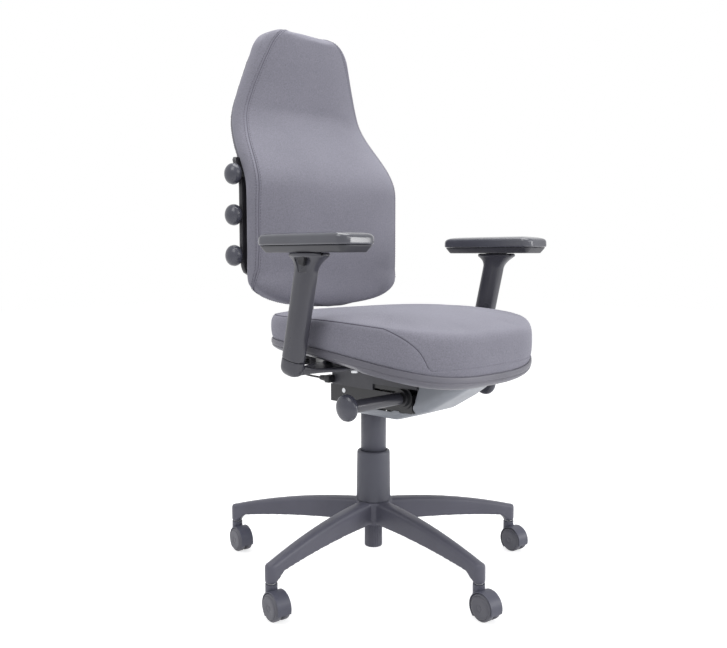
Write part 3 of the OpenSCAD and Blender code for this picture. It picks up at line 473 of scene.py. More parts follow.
def make_stage():
    """A plain white floor that takes light and shadow, in a room that looks white and lights weakly."""
    material = bpy.data.materials.new("floor")
    material.use_nodes = True
    tree = material.node_tree
    paper = tree.nodes["Principled BSDF"]
    fill(tree, paper, {"Base Color": PAPER_ALBEDO, "Roughness": 0.9, "Specular IOR Level": 0.1})
    shadow = add_node(tree, "BsdfDiffuse", {"Color": SHADOW_ALBEDO})
    white = add_node(tree, "Emission", {"Color": (1, 1, 1, 1), "Strength": PAPER_GLOW})
    shown = add_node(tree, "AddShader", {0: white.outputs[0], 1: shadow.outputs[0]})
    choice = add_node(tree, "MixShader", {0: seen_directly(tree), 1: paper.outputs[0], 2: shown.outputs[0]})
    fill(tree, tree.nodes["Material Output"], {"Surface": choice.outputs[0]})
    corners = [(x * FLOOR_HALF, y * FLOOR_HALF, 0) for x, y in ((-1, -1), (1, -1), (1, 1), (-1, 1))]
    new_object("floor", corners, [(0, 1, 2, 3)], material)
    world = bpy.data.worlds.new("room")
    bpy.context.scene.world = world
    world.use_nodes = True
    tree = world.node_tree
    strength = add_node(tree, "MapRange", {"Value": seen_directly(tree), "To Min": ROOM_LIGHT, "To Max": 1.0})
    fill(tree, tree.nodes["Background"], {"Color": (1, 1, 1, 1), "Strength": strength.outputs["Result"]})
    area_light("key light", (0.4, -2.8, 1.9), (0, 0, 0.6), (2.0, 1.4), 18)
    area_light("front light", (1.75, -2.5, 0.95), (0, 0, 0.65), (0.7, 1.2), 24)
    area_light("side light", (-2.2, 0.1, 2.7), (0, 0, 0.8), (1.4, 1.6), 26)
    area_light("top light", (0.3, 0.2, 3.2), (0, 0, 0.5), (2.2, 2.2), 62)


# Seat cushion and shell
(_, SEAT_Y0, _), (SEAT_X1, SEAT_Y1, SEAT_TOP) = box_mm("seat_cushion")
SEAT_FRONT, SEAT_REAR, SEAT_HALF_W = -SEAT_Y0, SEAT_Y1, SEAT_X1
SEAT_POWER = 2.85
RIM_Z = 503
RIM_FALL = 55
SHELL_H = 24
SEAM_FRONT = -287
SEAM_REAR = -100
SEAM_LOW = 466
SEAM_RISE = 95
SEAT_MID = (SEAT_REAR - SEAT_FRONT) / 2
SEAT_HALF_D = (SEAT_REAR + SEAT_FRONT) / 2


def seat_share(y):
    """How far forward y lies, from 0 at the rear of the seat to 1 at its front."""
    return clamp((SEAT_REAR - y) / (2 * SEAT_HALF_D))


def rim_at(y):
    """Height of the shell's rim."""
    return RIM_Z - RIM_FALL * seat_share(y) ** 3.4


def shell_under(y):
    """Height of the shell's underside."""
    return RIM_Z - SHELL_H - 40 * seat_share(y) ** 2.2 - 18 * seat_share(y) ** 6


def seat_crown(x, y):
    """Height of the cushion's top, which falls to the front, a little to the rear and at its sides."""
    ahead, behind = clamp((seat_share(y) - 0.45) / 0.55), clamp((0.4 - seat_share(y)) / 0.4)
    return SEAT_TOP - 7 * (abs(x) / SEAT_HALF_W) ** 5 - 36 * ahead ** 2.6 - 11 * behind ** 2


(_, BOARD_Y0, _), (_, _, BOARD_TOP) = box_mm("seat_board")
BOARD_STEP = 43


def cushion_floor(y):
    """The cushion's underside: flat over the board and down to the rim in front of it."""
    return 0.8 + max(rim_at(y), BOARD_TOP - 1.5 * max(0, BOARD_Y0 - BOARD_STEP - y))


def seat_point(angle, share):
    """A point of the seat's outline, drawn in to a share of its size."""
    x = SEAT_HALF_W * power(cos(angle), 2 / SEAT_POWER)
    y = SEAT_HALF_D * power(sin(angle), 2 / SEAT_POWER)
    return x * share, y * share + SEAT_MID


def seat_seam_z(y):
    """Height of the seam on the side: level at the rear, then down to the rim beside the front corner."""
    fall = clamp((SEAM_REAR - y) / (SEAM_REAR - SEAM_FRONT))
    return SEAM_LOW + SEAM_RISE * (1 - fall ** 2.5) ** 0.42


SIDE_PROFILE = [(0.0, 0.984), (0.08, 0.991), (0.2, 0.997), (0.4, 1.0), (0.6, 1.0), (0.75, 0.998),
                (0.86, 0.991), (0.94, 0.98), (1.0, 0.962)]


def profile_share(h):
    """How far out the side of the cushion stands at a share h of its height."""
    return float(np.interp(h, *zip(*SIDE_PROFILE)))


def build_seat_cushion():
    """The seat's cover: closed underneath, a boxed side with its seam, and a crowned top; a dark cord in the
    seam's groove is partly its thread and partly painted shade of the groove.
    """
    around = 144
    below, above = 8, 6
    groove = 0.03
    tops = [0.92, 0.84, 0.74, 0.62, 0.5, 0.37, 0.24, 0.1]
    inner = [0.3, 0.55, 0.8, 0.9, 0.955]
    columns = []
    for i in range(around):
        angle = 2 * pi * i / around
        edge_x, edge_y = seat_point(angle, 1)
        low = rim_at(edge_y) + 0.8
        high = seat_crown(edge_x * 0.95, (edge_y - SEAT_MID) * 0.95 + SEAT_MID) - 1
        seam = clamp((seat_seam_z(edge_y) - low) / (high - low), 0.03, 0.95)
        heights = [max(seam - groove, 0.002) * (k / below) ** 1.2 for k in range(below)]
        heights += [max(seam - groove, 0.004), seam, min(seam + groove, 0.99)]
        heights += [mix(min(seam + groove, 0.99), 1, (k + 1) / above) for k in range(above)]
        column = []
        for share in inner:
            x, y = seat_point(angle, share)
            column.append((x, y, low - 0.2 if share > 0.85 else max(low - 0.2, cushion_floor(y))))
        for k, h in enumerate(heights):
            share = profile_share(h)
            if k == below + 1:
                share -= 0.007
            x, y = seat_point(angle, share)
            column.append((x, y, mix(low, high, h)))
        for t in tops:
            x, y = seat_point(angle, t)
            column.append((x, y, seat_crown(x, y)))
        columns.append(column)
    rings = [list(ring) for ring in zip(*columns)]
    cushion = loft("seat_cushion_cover", rings, FABRIC)
    rim_ring = len(inner)
    seam_ring = rim_ring + below + 1
    pinned = set(range((rim_ring + 1) * around))
    pinned |= set(range(seam_ring * around, (seam_ring + 1) * around))
    inflate(cushion, pinned, cap=1.2)
    for ring, strength in ((seam_ring, 0.8), (rim_ring, 0.9)):
        crease(cushion, strength, lambda a, b: a // around == b // around == ring)
    line = [Vector(cushion.data.vertices[seam_ring * around + i].co) for i in range(around)]
    subdivide(cushion, 2)
    stand_for(cushion, "seat", "fabric", "seat_cushion")
    shown = [p.y / MM > SEAM_FRONT for p in line]
    start = next(i for i in range(around) if shown[i] and not shown[i - 1])
    ordered = [line[(start + i) % around] / MM for i in range(sum(shown))]
    # Dark cord in the seam's groove: partly the seam's thread, partly painted shade of the groove
    stand_for(tube("seat_seam", ordered, 0.9, THREAD_AND_GROOVE_SHADE), "seat", "fabric")


def crease(obj, strength, chosen):
    """Keeps the edges between chosen points sharp when the skin is subdivided."""
    attributes = obj.data.attributes
    layer = attributes.get("crease_edge") or attributes.new("crease_edge", "FLOAT", "EDGE")
    for e in obj.data.edges:
        if chosen(*e.vertices):
            layer.data[e.index].value = strength


def inflate(obj, pinned, cap):
    """Lets the cover swell under the foam's pressure, held along its seams, by cap millimetres at most."""
    frames = 20
    group = obj.vertex_groups.new(name="held")
    group.add(sorted(pinned), 1.0, "REPLACE")
    rest = np.array([v.co for v in obj.data.vertices])
    m = obj.modifiers.new("cloth", "CLOTH")
    s = m.settings
    s.vertex_group_mass = "held"
    s.use_pressure = True
    s.uniform_pressure_force = 3.0
    s.effector_weights.gravity = 0
    s.tension_stiffness = s.compression_stiffness = 25
    s.shear_stiffness = 15
    s.bending_stiffness = 4
    s.quality = 6
    s.mass = 0.3
    m.point_cache.frame_start = 1
    m.point_cache.frame_end = frames
    scene = bpy.context.scene
    for f in range(1, frames + 1):
        scene.frame_set(f)
    evaluated = obj.evaluated_get(bpy.context.evaluated_depsgraph_get())
    moved = np.array([v.co for v in evaluated.data.vertices])
    obj.modifiers.clear()
    obj.vertex_groups.clear()
    scene.frame_set(1)
    step = moved - rest
    length = np.linalg.norm(step, axis=1, keepdims=True)
    limit = cap * MM
    step *= np.where(length > 1e-9, limit * np.tanh(length / limit) / np.maximum(length, 1e-9), 0)
    obj.data.vertices.foreach_set("co", (rest + step).ravel())
    obj.data.update()


def tube(name, points, radius, material, sides=8):
    """A round cord through points in millimetres."""
    pts = [Vector(p) for p in points]
    rings = []
    side = None
    for i, p in enumerate(pts):
        along = (pts[min(i + 1, len(pts) - 1)] - pts[max(i - 1, 0)]).normalized()
        if side is None:
            side = along.cross(Vector((0, 0, 1)) if abs(along.z) < 0.9 else Vector((1, 0, 0))).normalized()
        side = (side - along * side.dot(along)).normalized()
        up = side.cross(along)
        rings.append([tuple(p + radius * (cos(2 * pi * k / sides) * side + sin(2 * pi * k / sides) * up))
                      for k in range(sides)])
    return loft(name, rings, material)


WINDOW_Z = 483.8
INSIDE_Z = 410
WING_Y = -192, -168, -12, 8
WING_DEPTH = 12


def build_seat_shell():
    """The moulded shell: a bead and a groove at its rim, a recess for each wing, a window underneath."""
    around = 144
    profile = [
        (0.0, -5.0, 1.0), (0.0, -2.4, 1.0), (0.0, -0.8, 0.6), (0.0, 0.2, 0.0), (0.02, 0.6, -0.8),
        (0.3, 0.9, 0.0), (0.36, 0.3, 0.0), (0.4, -1.6, 0.0), (0.44, -1.6, 0.0), (0.48, 0.0, 0.0),
        (0.62, -2.2, 0.0), (0.78, -8.0, 0.0), (0.9, -17.0, 0.0), (0.97, -28.0, 0.0), (1.0, -42.0, 0.0),
        (1.0, -70.0, 0.0),
    ]
    rings = [[] for _ in profile]
    for i in range(around):
        angle = 2 * pi * i / around
        edge_x, edge_y = seat_point(angle, 1)
        out = Vector((edge_x, edge_y - SEAT_MID, 0)).normalized()
        top = rim_at(edge_y)
        low = shell_under(edge_y)
        depth = top - low
        wing = smooth(*WING_Y[:2], edge_y) * (1 - smooth(*WING_Y[2:], edge_y)) * (abs(edge_x) > 150)
        for ring, (drop, offset, lift) in zip(rings, profile):
            inset = offset - 1
            if drop > 0.48:
                inset -= WING_DEPTH * wing
            z = top - depth * drop + lift
            ring.append((edge_x + out.x * inset, edge_y + out.y * inset, z))
    window = [(x * 0.42, (y - SEAT_MID) * 0.62 + SEAT_MID - 4, z) for x, y, z in rings[-1]]
    window_top = [(x, y, WINDOW_Z) for x, y, _ in window]
    inner = [(x * 0.985, (y - SEAT_MID) * 0.985 + SEAT_MID, max(z - 9, INSIDE_Z)) for x, y, z in rings[0]]
    rings = [inner] + rings + [window, window_top]
    shell = loft("seat_shell_moulding", rings, SHELL_PLASTIC, capped=False)
    subdivide(shell, 1)
    stand_for(shell, "seat", "shell_plastic", "seat_shell")


# Back cushion
(_, _, BACK_Z0), (BACK_HALF, _, BACK_Z1) = box_mm("back_cushion")
BACK_T = 60
BACK_CROWN = 14
LOW_ROUND, TOP_ROUND, EDGE_ROUND = 60, 46, 16
WAIST_Z, HEAD_Z = 832, 922


def end_round(u, r):
    """How far a round end of radius r draws in at a distance u from the end."""
    return 0 if u >= r else r - sqrt(max(0, r * r - (r - max(u, 0)) ** 2))


def back_half(z):
    """Half the back's width: straight, then curving in above the waist to a straight taper."""
    if z < WAIST_Z:
        return BACK_HALF
    return BACK_HALF - (0.0019 * (z - WAIST_Z) ** 2 if z < HEAD_Z else 15.4 + 0.34 * (z - HEAD_Z))


def back_face(z):
    """How far back the middle of the front stands: the lumbar curve, the lean above it and the tip."""
    return 117 + 90 * smooth(807, 992, z) - 11 * smooth(1002, 1150, z) - 6 * smooth(642, 572, z)


def back_edge(z):
    """Half the back's width with its round ends."""
    return max(12, back_half(z) - 3.1 * end_round(z - BACK_Z0, LOW_ROUND) - end_round(BACK_Z1 - z, TOP_ROUND))


def back_point(z, angle):
    """A point of the back's skin: the angle is -90 degrees at its front's middle and 90 at its rear's."""
    c, s = cos(radians(angle)), sin(radians(angle))
    half = back_edge(z)
    x = half * power(c, 0.5)
    depth = power(s, 0.45)
    thin = end_round(z - BACK_Z0, EDGE_ROUND) + end_round(BACK_Z1 - z, EDGE_ROUND)
    crown = BACK_CROWN * (0.35 + 0.65 * smooth(BACK_Z0, 692, z) * (1 - smooth(792, 1150, z)))
    y = back_face(z) + BACK_T / 2 + depth * (BACK_T / 2 - (thin if depth < 0 else thin / 3))
    if depth < 0:
        y -= crown * (1 - (x / half) ** 2)
    return x, y, z


SEAM_AT = [(558, 34), (600, 4), (640, -18), (680, -21), (760, -21), (815, -23), (870, -27), (980, -30),
           (1032, -33), (1080, -39), (1118, -46), (1142, -50), (1165, -53)]


def back_seam_angle(z):
    """Where the seam between front and side lies around the section, in degrees."""
    return float(np.interp(z, *zip(*SEAM_AT)))


def angle_beside(z, start, distance):
    """The angle of the point that lies a distance in millimetres along the section from a start angle."""
    step = 0.25 if distance > 0 else -0.25
    angle = start
    last = Vector(back_point(z, angle))
    gone = 0.0
    while gone < abs(distance):
        angle += step
        point = Vector(back_point(z, angle))
        gone += (point - last).length
        last = point
    return angle


SEAM_VALLEY = 2.4
SEAM_PULL = 2.0
STITCH_AWAY = 5.0


def build_back_cushion():
    """The back's cover, with a sunk seam between front and boxing and a row of stitches on both sides; a dark
    cord in each seam's groove is partly thread and partly painted shade of the groove.
    """
    front, boxing, rear = 18, 6, 10
    levels = [BACK_Z0 + LOW_ROUND * (1 - cos(radians(a))) for a in range(0, 91, 9)]
    levels += [mix(BACK_Z0 + LOW_ROUND, BACK_Z1 - TOP_ROUND, k / 42) for k in range(1, 42)]
    levels += [BACK_Z1 - TOP_ROUND * (1 - sin(radians(a))) for a in range(0, 91, 10)]
    around_seam = (-STITCH_AWAY, -SEAM_VALLEY, 0, SEAM_VALLEY, STITCH_AWAY)
    rings = []
    for z in levels:
        seam = back_seam_angle(z)
        beside = [angle_beside(z, seam, d) if d else seam for d in around_seam]
        half = [mix(-90, beside[0], (k / front) ** 0.75) for k in range(front)] + beside
        edge = max(beside[-1] + 6, 62)
        half += [mix(beside[-1], edge, k / boxing) for k in range(1, boxing)]
        half += [mix(edge, 90, k / rear) for k in range(rear + 1)]
        ring = []
        for k, a in enumerate(half):
            x, y, _ = back_point(z, a)
            if k == front + 2:
                inward = Vector((-cos(radians(a)), -sin(radians(a)), 0)).normalized()
                x += SEAM_PULL * inward.x
                y += SEAM_PULL * inward.y
            ring.append((x, y, z))
        mirror = [(-x, y, z) for x, y, z in ring[1:-1]][::-1]
        rings.append(ring + mirror)
    size = len(rings[0])
    cushion = loft("back_cushion_cover", rings, FABRIC)
    seam_at = [front + 2, size - front - 2]
    pinned = {k * size + s + d for k in range(len(rings)) for s in seam_at for d in (-1, 0, 1)}
    behind = front + boxing + 5
    pinned |= {k * size + i for k in range(len(rings)) for i in range(behind, size - behind + 1)}
    inflate(cushion, pinned, cap=3)
    crease(cushion, 0.6, lambda a, b: a % size in seam_at and a % size == b % size)
    lines = {(word, shift): [Vector(cushion.data.vertices[k * size + column + shift].co) / MM
                             for k in range(len(rings))]
             for word, column in zip(("left", "right"), seam_at) for shift in (-2, 0, 2)}
    subdivide(cushion, 2)
    stand_for(cushion, "back", "fabric", "back_cushion")
    for word in ("left", "right"):
        # Dark cord in the seam's groove: partly the seam's thread, partly painted shade of the groove
        stand_for(tube(f"back_seam_{word}", lines[word, 0], 0.7, THREAD_AND_GROOVE_SHADE), "back", "fabric")
        stitches = stitch_ends(lines[word, -2]) + stitch_ends(lines[word, 2])
        stand_for(new_stitches(f"back_stitches_{word}", stitches), "back", "fabric")


STITCH_LONG = 4.2
STITCH_GAP = 1.8
STITCH_R = 0.5


def stitch_ends(line):
    """Both ends of each stitch along a line."""
    lengths = [0.0]
    for a, b in zip(line, line[1:]):
        lengths.append(lengths[-1] + (b - a).length)
    stitches = []
    at = STITCH_GAP
    while at + STITCH_LONG < lengths[-1]:
        ends = []
        for s in (at, at + STITCH_LONG):
            k = max(i for i, v in enumerate(lengths[:-1]) if v <= s)
            ends.append(line[k].lerp(line[k + 1], (s - lengths[k]) / max(lengths[k + 1] - lengths[k], 1e-6)))
        stitches.append(ends)
        at += STITCH_LONG + STITCH_GAP
    return stitches


def new_stitches(name, stitches):
    """One mesh of small rounded stitches that lie on the cloth."""
    verts, faces = [], []
    sides = 6
    profile = ((0.0, 0.25), (0.12, 0.8), (0.5, 1.0), (0.88, 0.8), (1.0, 0.25))
    for a, b in stitches:
        along = (b - a).normalized()
        side = along.cross(Vector((0, -1, 0.1))).normalized()
        up = side.cross(along)
        base = len(verts)
        for t, r in profile:
            centre = a.lerp(b, t)
            for k in range(sides):
                w = 2 * pi * k / sides
                verts.append(tuple(centre + STITCH_R * r * (cos(w) * side + sin(w) * up)))
        last = base + (len(profile) - 1) * sides
        faces += [tuple(base + i for i in f) for f in ring_faces(len(profile), sides)]
        faces += [tuple(base + i for i in range(sides - 1, -1, -1)), tuple(last + i for i in range(sides))]
    obj = new_object(name, verts, faces, THREAD_AND_GROOVE_SHADE)
    fix_normals(obj)
    return obj


# Arms
ARM_LEAN = radians(12.9)
ARM_SEAM_Z = 479
ARM_SEAM_Y = -68
ARM_L = 48
ARM_W = 32
ARM_AROUND = 64
FLARE_H = 34
(PAD_X0, PAD_Y0, PAD_Z0), (PAD_X1, PAD_Y1, _) = box_mm("right_arm_pad")
(_, _, PAD_RAIL_Z), _ = box_mm("right_arm_pad_base")
ARM_X = -sum(corner[0] for corner in box_mm("right_arm_upright")) / 2
PAD_X, PAD_Y = -(PAD_X0 + PAD_X1) / 2, (PAD_Y0 + PAD_Y1) / 2
PAD_W, PAD_L = PAD_X1 - PAD_X0, PAD_Y1 - PAD_Y0
PAD_CORNER = 20
PAD_RAIL_H = 6
PAD_ARCH = 900
PAD_LAP = 7
PAD_SIDE = [(0.0, 3.0), (0.8, 1.2), (2.2, 0.2), (4.0, 0.0), (19.0, 0.2), (21.5, 0.8), (24.0, 2.6),
            (25.5, 5.2), (26.3, 9.0), (26.8, 15.0), (27.0, 24.0), (27.0, 33.0), (27.0, 40.0)]


def rounded_rect(x, y, r, per=5):
    """Outline of a plate with round corners, starting at its right side."""
    points = []
    for sx, sy, start in ((1, 1, 0), (-1, 1, 90), (-1, -1, 180), (1, -1, 270)):
        for k in range(per):
            a = radians(start + 90 * k / (per - 1))
            points.append((sx * (x / 2 - r) + r * cos(a), sy * (y / 2 - r) + r * sin(a)))
    return points


def pad_outline(s, inset, corner, lift):
    """The pad's outline drawn in by inset, at the height that lift gives for each place along it."""
    outline = rounded_rect(PAD_W - 2 * inset, PAD_L - 2 * inset, corner, 9)
    return [(s * PAD_X + x, PAD_Y + y, lift(y)) for x, y in outline]


def build_pad(word, s):
    """The soft pad, arched along its length."""
    rings = []
    for h, inset in PAD_SIDE:
        rings.append(pad_outline(s, inset, max(PAD_CORNER - inset * 0.5, 3), lambda y: PAD_Z0 - PAD_LAP + h
                                 - (PAD_ARCH - sqrt(PAD_ARCH ** 2 - y * y)) * smooth(3, 18, h)))
    pad = loft(f"{word}_pad_skin", rings, PAD_SKIN)
    subdivide(pad, 2)
    stand_for(pad, f"{word}_pad", "arm_pad_skin", f"{word}_arm_pad")


def build_pad_base(word, s):
    """The pad's base, whose sides slope in to its underside, and the rail under it."""
    low, top = PAD_RAIL_Z + PAD_RAIL_H, PAD_Z0 - PAD_LAP
    sides = ((low, 22), (low, 15), (low + 0.6, 12.6), (low + 1.8, 11.6), (top - 3.0, 4.6), (top - 1.6, 3.8),
             (top - 0.1, 3.8))
    rings = [pad_outline(s, inset, max(PAD_CORNER - inset, 6), lambda y: z) for z, inset in sides]
    plate = loft(f"{word}_pad_plate_body", rings, BASE_SKIN)
    rail = rounded_rect(20, 46, 3, 4)
    head_y = arm_axis_y(low)
    slide = loft("rail", [[(s * ARM_X + x, head_y + y, z) for x, y in rail] for z in (PAD_RAIL_Z, low + 1)],
                 BLACK_PLASTIC)
    plate = join(f"{word}_pad_plate", [plate, slide])
    stand_for(plate, f"{word}_pad", "black_plastic", f"{word}_arm_pad_base")


def stadium_point(t, long, wide, power_of=2.6):
    """Outline of the arm's section, a soft oval, for t from 0 to 1."""
    a = 2 * pi * t
    return wide / 2 * power(cos(a), 2 / power_of), long / 2 * power(sin(a), 2 / power_of)


def arm_axis_y(z):
    """Where the leaning arm's middle stands at a height."""
    return ARM_SEAM_Y - (z - ARM_SEAM_Z) * tan(ARM_LEAN)


def arm_place(s, x, y, h):
    """A point of the leaning arm: x across, y along the section, h up from the seam with the foot."""
    return (s * ARM_X + x, ARM_SEAM_Y + y * cos(ARM_LEAN) - h * sin(ARM_LEAN),
            ARM_SEAM_Z + y * sin(ARM_LEAN) + h * cos(ARM_LEAN))


def arm_ring(s, h, longer=0.0, wider=0.0):
    """The leaning arm's section at h above the seam with the foot."""
    return [arm_place(s, *stadium_point(i / ARM_AROUND, ARM_L + longer, ARM_W + wider), h)
            for i in range(ARM_AROUND)]


def collar_ring(s, y0, z, long, wide):
    """The level section of the arm's collar."""
    outline = [stadium_point(i / ARM_AROUND, long, wide, 2.3) for i in range(ARM_AROUND)]
    return [(s * ARM_X + x, y0 + y, z) for x, y in outline]


def build_arm_upright(word, s):
    """The leaning sleeve, which flares out to a collar with a recess for the button in its outer side."""
    head_z = PAD_RAIL_Z + PAD_RAIL_H - 0.4
    head_y = arm_axis_y(head_z)
    neck = (head_z - ARM_SEAM_Z) / cos(ARM_LEAN) - FLARE_H
    rings = [arm_ring(s, h, grow, grow) for h, grow in ((0.3, -1.6), (0.9, -0.6), (2.0, 0.0))]
    rings += [arm_ring(s, mix(2, neck - 2, k / 11)) for k in range(1, 12)]
    flare_top = head_z - 7.5
    collar = collar_ring(s, head_y, flare_top, 91, 41)
    for k in range(1, 10):
        share = k / 9
        ring = []
        for low, high in zip(arm_ring(s, neck + 6 * share), collar):
            low = Vector(low)
            point = low.lerp(Vector(high), share ** 2.4)
            ring.append((point.x, point.y, mix(low.z, flare_top, 0.3 * share + 0.7 * share ** 1.5)))
        rings.append(ring)
    for drop, inset in ((6.4, 0.4), (5.0, -0.2), (2.6, 0.0), (1.2, 0.6), (0.3, 2.0), (0.0, 5.0)):
        rings.append(collar_ring(s, head_y, head_z - drop, 94 - 2 * inset, 44 - 2 * inset))
    arm = loft(f"{word}_arm_sleeve", rings, ARM_PLASTIC)
    subdivide(arm, 1)
    (_, y0, _), (_, y1, _) = box_mm(f"{word}_arm_button")
    sections = []
    for drop, wide, grow in ((8.0, 36, -1), (9.0, 40, 0), (14.0, 40, 0), (26.0, 30, 0), (33.0, 27, 0),
                             (34.5, 25, -1)):
        outline = rounded_rect(19 + grow, wide, 3)
        sections.append([(s * (ARM_X + 22.6) + x, (y0 + y1) / 2 + y, head_z - drop) for x, y in outline])
    recess = loft("recess", sections, BLACK_PLASTIC)
    slot = rounded_box("slot", (s * ARM_X, head_y, head_z + 2), (21, 89, 17), 2, BLACK_PLASTIC)
    for cutter in (recess, slot):
        cut = arm.modifiers.new("cut", "BOOLEAN")
        cut.operation = "DIFFERENCE"
        cut.object = cutter
        cut.solver = "EXACT"
        apply_modifiers(arm)
        bpy.data.objects.remove(cutter)
    stand_for(arm, f"{word}_arm", "arm_plastic", f"{word}_arm_upright")


def rounded_box(name, centre, size, radius, material):
    """A small block with round corners and edges."""
    rings = []
    half = size[2] / 2
    steps = ((0, radius), (radius * 0.3, radius * 0.3), (radius, 0))
    levels = [(up - half, inset) for up, inset in steps]
    for h, inset in levels + [(-h, inset) for h, inset in levels[::-1]]:
        outline = rounded_rect(size[0] - 2 * inset, size[1] - 2 * inset, radius)
        rings.append([(centre[0] + x, centre[1] + y, centre[2] + h) for x, y in outline])
    return loft(name, rings, material)


FOOT_REACH = 30
FOOT_ROUND = 14
WING_STATIONS = [(ARM_X - 2, -66, 461, 36, 26), (ARM_X - 12, -68, 459.5, 38, 20),
                 (ARM_X - 24, -71, 458, 44, 13), (250, -74, 457.5, 54, 9), (228, -76, 458, 72, 8),
                 (205, -76, 458, 92, 8), (175, -76, 457.5, 100, 8), (150, -76, 457, 104, 8)]
WING_POSTS_X = 168
WING_POSTS_Y = (-112, -38)
WING_POST_Z = 461


def build_arm_foot(word, s):
    """The arm's fixed foot, its steel blade and the wing that carries it from under the seat."""
    rings = []
    for k in range(9):
        a = k / 8 * pi / 2
        shrink = FOOT_ROUND * (1 - sin(a))
        rings.append(arm_ring(s, -FOOT_REACH + FOOT_ROUND * (1 - cos(a)), -2 * shrink, -1.2 * shrink))
    rings += [arm_ring(s, h, grow, grow) for h, grow in ((-8, 0), (-1.0, 0), (-0.4, -0.6), (0.0, -1.6))]
    foot = loft("foot", rings, ARM_PLASTIC)
    wing_rings = []
    for x, y, z, wide, thick in WING_STATIONS:
        outline = rounded_rect(wide, thick, thick * 0.45)
        wing_rings.append([(s * x, y + u, z + v) for u, v in outline])
    wing = loft("wing", wing_rings, ARM_PLASTIC)
    posts = [lathe("post", [(9, 0), (9, 23)], ARM_PLASTIC,
                   standing(s * WING_POSTS_X, y, WING_POST_Z), turns=24) for y in WING_POSTS_Y]
    body = join("foot_and_wing", [foot, wing] + posts)
    soften(body, 1.6, 6)
    bracket = join(f"{word}_arm_foot", [body, steel_blade(s)])
    stand_for(bracket, "seat", "arm_plastic", f"{word}_arm_bracket")


def steel_blade(s):
    """The bar in the foot on which the sleeve slides."""
    rings = []
    for h, inset in ((-6, 0), (138, 0), (140, 1.5)):
        outline = rounded_rect(12 - 2 * inset, 30 - 2 * inset, 2, 4)
        rings.append([arm_place(s, x, y, h) for x, y in outline])
    return loft("blade", rings, GREY_STEEL)


# Base
STEM_R = 327
BASE_TURN = radians(-9.5)
CASTER_TURN = radians(-8)
CASTER_TRAIL = 18
LEG_TOP = 147
LEG_FALL = 48
LEG_TIP = 16
LEG_UNDER = 99
LEG_ARCH = 18
LEG_ARCH_R = 310
LEG_W_HUB = 36
POST_D = 24
POST_Z = 65
POST_BEND = 18
WHEEL_R = box_mm("caster_1_wheel_right")[1][2] / 2
WHEEL_W = 15.5
WHEEL_GAP = 2.2


def leg_top(r):
    """Height of the leg's top at a radius from the column."""
    return LEG_TOP - LEG_FALL * (r / (STEM_R + LEG_TIP)) ** 2


def leg_under(r):
    """Height of the leg's underside, arched up to the hub."""
    return LEG_UNDER - LEG_ARCH * (max(r, 0) / LEG_ARCH_R) ** 2.5


def leg_place(i, r, side, z):
    """A point of leg i at a radius, beside its middle."""
    a = BASE_TURN + (i - 1) * 2 * pi / 5
    return (r * sin(a) + side * cos(a), -r * cos(a) + side * sin(a), z)


def build_leg(i):
    """One leg: an arched beam with a narrow crowned top, ending in the post that holds the caster's stem."""
    rings = []
    post_r = POST_D / 2
    r_in = STEM_R - post_r
    bend = r_in - POST_BEND
    for r in (12, 30, 60, 95, 130, 165, 200, 235, 265, 290, 303, 310, r_in, 320, 327, 333, 337, 339):
        half = mix(LEG_W_HUB / 2, post_r, r / STEM_R)
        if r > STEM_R:
            half = sqrt(max(2.0, post_r ** 2 - (r - STEM_R) ** 2))
        top = leg_top(r)
        if r < bend:
            low = leg_under(r)
        elif r < r_in:
            low = leg_under(bend) - POST_BEND * (1 - sqrt(1 - ((r - bend) / POST_BEND) ** 2))
        else:
            low = POST_Z + 6
        right = [(half * 0.25, top), (half * 0.62, top - 1.2), (half * 0.93, top - 4.5), (half, top - 9),
                 (half, low + 3), (half * 0.97, low)]
        ring = [(-side, z) for side, z in right[::-1]] + right
        rings.append([leg_place(i, r, side, z) for side, z in ring])
    beam = loft(f"leg_{i}", rings, BASE_PLASTIC)
    x0, y0, _ = leg_place(i, STEM_R, 0, 0)
    top = leg_top(STEM_R)
    profile = [(post_r - 1.6, POST_Z), (post_r - 0.5, POST_Z + 1.5), (post_r, POST_Z + 7), (post_r, top - 6),
               (post_r - 3, top - 1.5)]
    return [beam, lathe(f"post_{i}", profile, BASE_PLASTIC, standing(x0, y0), turns=40)]


def build_base():
    """The star base as one moulding: five legs, their posts and the hub."""
    pieces = []
    for i in range(1, 6):
        pieces += build_leg(i)
    hub = lathe("hub", [(31, 95), (32.5, 97), (34, 106), (37.5, 110), (37.5, 138), (38.2, 145.6)],
                BASE_PLASTIC, standing(), turns=72)
    base = join("base_moulding", pieces + [hub])
    soften(base, 1.9, 7)
    stand_for(base, "base", "base_plastic", "star_base")


# Casters
def axle_place(i, s):
    """The place of a turned piece on caster i's axle, for the wheel on side s."""
    x0, y0, _ = leg_place(i, STEM_R, 0, 0)
    cs, sn = cos(CASTER_TURN), sin(CASTER_TURN)
    ax, ay = x0 + CASTER_TRAIL * sn, y0 - CASTER_TRAIL * cs
    return lambda x, y, z: (ax + s * z * cs - x * sn, ay + s * z * sn + x * cs, WHEEL_R + y)


